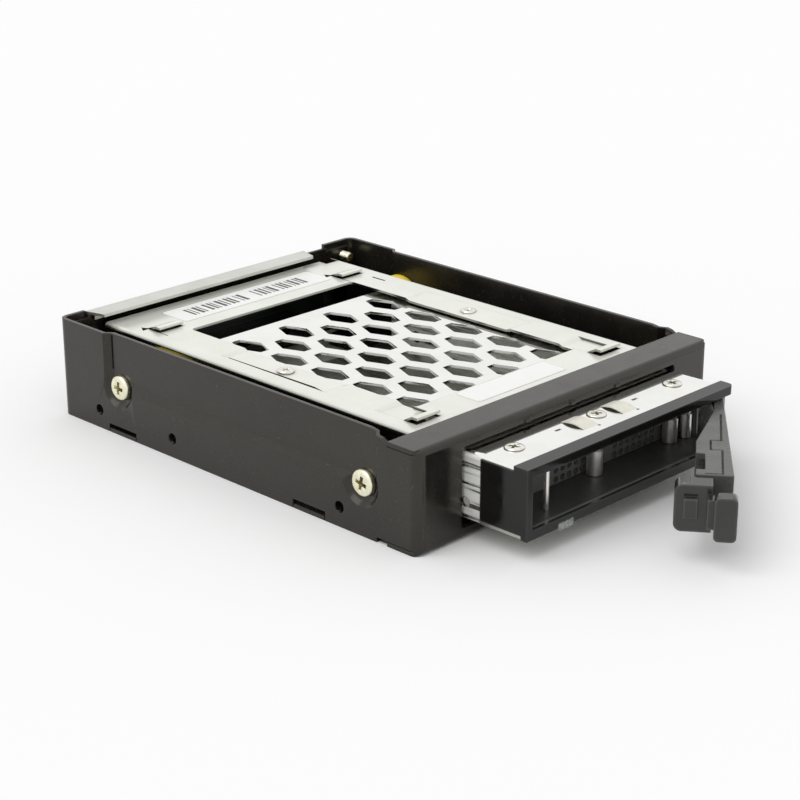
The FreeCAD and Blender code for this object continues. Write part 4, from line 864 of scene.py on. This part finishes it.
def bars():
    """X ranges of the printed bars, whose widths repeat in a plain cycle."""
    count = 0
    for start, end in BAR_GROUPS:
        x = start
        while x < end:
            width = BAR_WIDTHS[count % len(BAR_WIDTHS)]
            yield x, x + width
            x += width + BAR_GAPS[count % len(BAR_GAPS)]
            count += 1


def add_label(name, corners, printed):
    """White sticker on the cage's top, bare or with plain bars."""
    (x0, y0), (x1, y1) = corners
    work = bmesh.new()
    top = CAGE_TOP + LABEL_THICK
    slab(work, (x0, y0, CAGE_TOP), (x1, y1, top), LABEL_CORNER)
    if printed:
        for left, right in bars():
            slab(work, (left, BAR_Y[0], top), (right, BAR_Y[1], top + PRINT_THICK), material=1)
    mesh = bpy.data.meshes.new(name)
    work.to_mesh(mesh)
    work.free()
    mesh.materials.append(PAPER)
    mesh.materials.append(INK)
    add_piece(name, mesh, "housing", "clear_plastic")


def add_contacts(name, middle, columns, face, reach, outward):
    """Row of gold strips on a connector's tongue, rounded at the tip."""
    work = bmesh.new()
    for column in range(columns):
        x = middle + (column - (columns - 1) / 2) * CONTACT_PITCH
        y0, y1 = reach
        z0, z1 = sorted((face, face + outward * CONTACT_THICK))
        slab(work, (x - CONTACT_WIDTH / 2, y0, z0), (x + CONTACT_WIDTH / 2, y1, z1), CONTACT_CORNER)
    mesh = bpy.data.meshes.new(name)
    work.to_mesh(mesh)
    work.free()
    mesh.materials.append(GOLD)
    add_piece(name, mesh, "housing", "nickel")


def add_all_contacts():
    """Contacts of the socket and of the two rear connectors."""
    low, high = node_box("drive_socket")
    face, reach = (low.z + high.z) / 2 + SOCKET_FACE, (low.y + SOCKET_SHORT[0], high.y - SOCKET_SHORT[1])
    for name, middle, columns in SOCKET_ROWS:
        add_contacts(name, middle, columns, face, reach, -1)
    for node, columns in REAR_ROWS:
        low, high = node_box(node)
        middle, face = (low.x + high.x) / 2, (low.z + high.z) / 2 + TONGUE_HALF
        reach = (low.y + REAR_SHORT[0], high.y - REAR_SHORT[1])
        add_contacts(node + "_contacts", middle, columns, face, reach, 1)


def make_floor():
    """Plain white floor, which takes the object's shadow."""
    corners = [(x, y, 0) for x, y in rectangle(-FLOOR_HALF, FLOOR_HALF, -FLOOR_HALF, FLOOR_HALF)]
    mesh = bpy.data.meshes.new("floor")
    mesh.from_pydata(corners, [], [(0, 1, 2, 3)])
    floor = bpy.data.objects.new("floor", mesh)
    floor.location.z = CAD_BOX[0].z - FLOOR_DROP * MM
    shader = Shader("floor").set(Roughness=0.9, Specular_IOR_Level=0.0)
    bounce = (FLOOR_BOUNCE, FLOOR_BOUNCE, FLOOR_BOUNCE, 1)
    shader.link(shader.mix(seen_directly(shader.tree), bounce, (1, 1, 1, 1)), "Base Color")
    mesh.materials.append(shader.material)
    bpy.context.scene.collection.objects.link(floor)
    floor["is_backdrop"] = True


def make_world():
    """White surroundings: full white where they are seen or mirrored, softer as light."""
    world = bpy.data.worlds.new("studio")
    bpy.context.scene.world = world
    world.use_nodes = True
    tree = world.node_tree
    background = tree.nodes["Background"]
    background.inputs["Color"].default_value = (1, 1, 1, 1)
    strength = tree.nodes.new("ShaderNodeMapRange")
    strength.inputs["To Min"].default_value = ROOM_LIGHT
    strength.inputs["To Max"].default_value = 1.0
    tree.links.new(seen_directly(tree), strength.inputs["Value"])
    tree.links.new(strength.outputs["Result"], background.inputs["Strength"])


def make_sun():
    """One wide soft sun, from above and a little to the left."""
    data = bpy.data.lights.new("sun", "SUN")
    data.energy = SUN_STRENGTH
    data.angle = SUN_ANGLE
    sun = bpy.data.objects.new("sun", data)
    sun.rotation_euler = (-SUN_FROM).to_track_quat("-Z", "Y").to_euler()
    bpy.context.scene.collection.objects.link(sun)


def make_camera():
    """Camera at the photo's place and angle."""
    data = bpy.data.cameras.new("camera")
    data.sensor_width = SENSOR
    data.lens = CAMERA_FOCUS_PX * SENSOR / PHOTO_PX
    data.clip_start, data.clip_end = CAMERA_CLIP
    camera = bpy.data.objects.new("camera", data)
    azimuth, elevation = math.radians(CAMERA_AZIMUTH), math.radians(CAMERA_ELEVATION)
    back = Vector((math.sin(azimuth) * math.cos(elevation), -math.cos(azimuth) * math.cos(elevation),
                   math.sin(elevation)))
    camera.location = CAMERA_PLACE
    camera.rotation_euler = (-back).to_track_quat("-Z", "Y").to_euler()
    bpy.context.scene.collection.objects.link(camera)
    bpy.context.scene.camera = camera


paint_nodes()
for moulding in MOULDINGS:
    add_softened(*moulding)
add_shell()
add_cage_cover()
add_tray_cover()
add_posts()
add_rings()
add_all_screws()
add_label("rear_label", REAR_LABEL, True)
add_label("front_label", FRONT_LABEL, False)
add_all_contacts()
make_camera()
make_world()
make_sun()
make_floor()
bpy.context.scene.view_settings.view_transform = "Standard"

boxes = {"cad": CAD_BOX, "visual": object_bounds()}
{name: [list(corner) for corner in box] for name, box in boxes.items()}
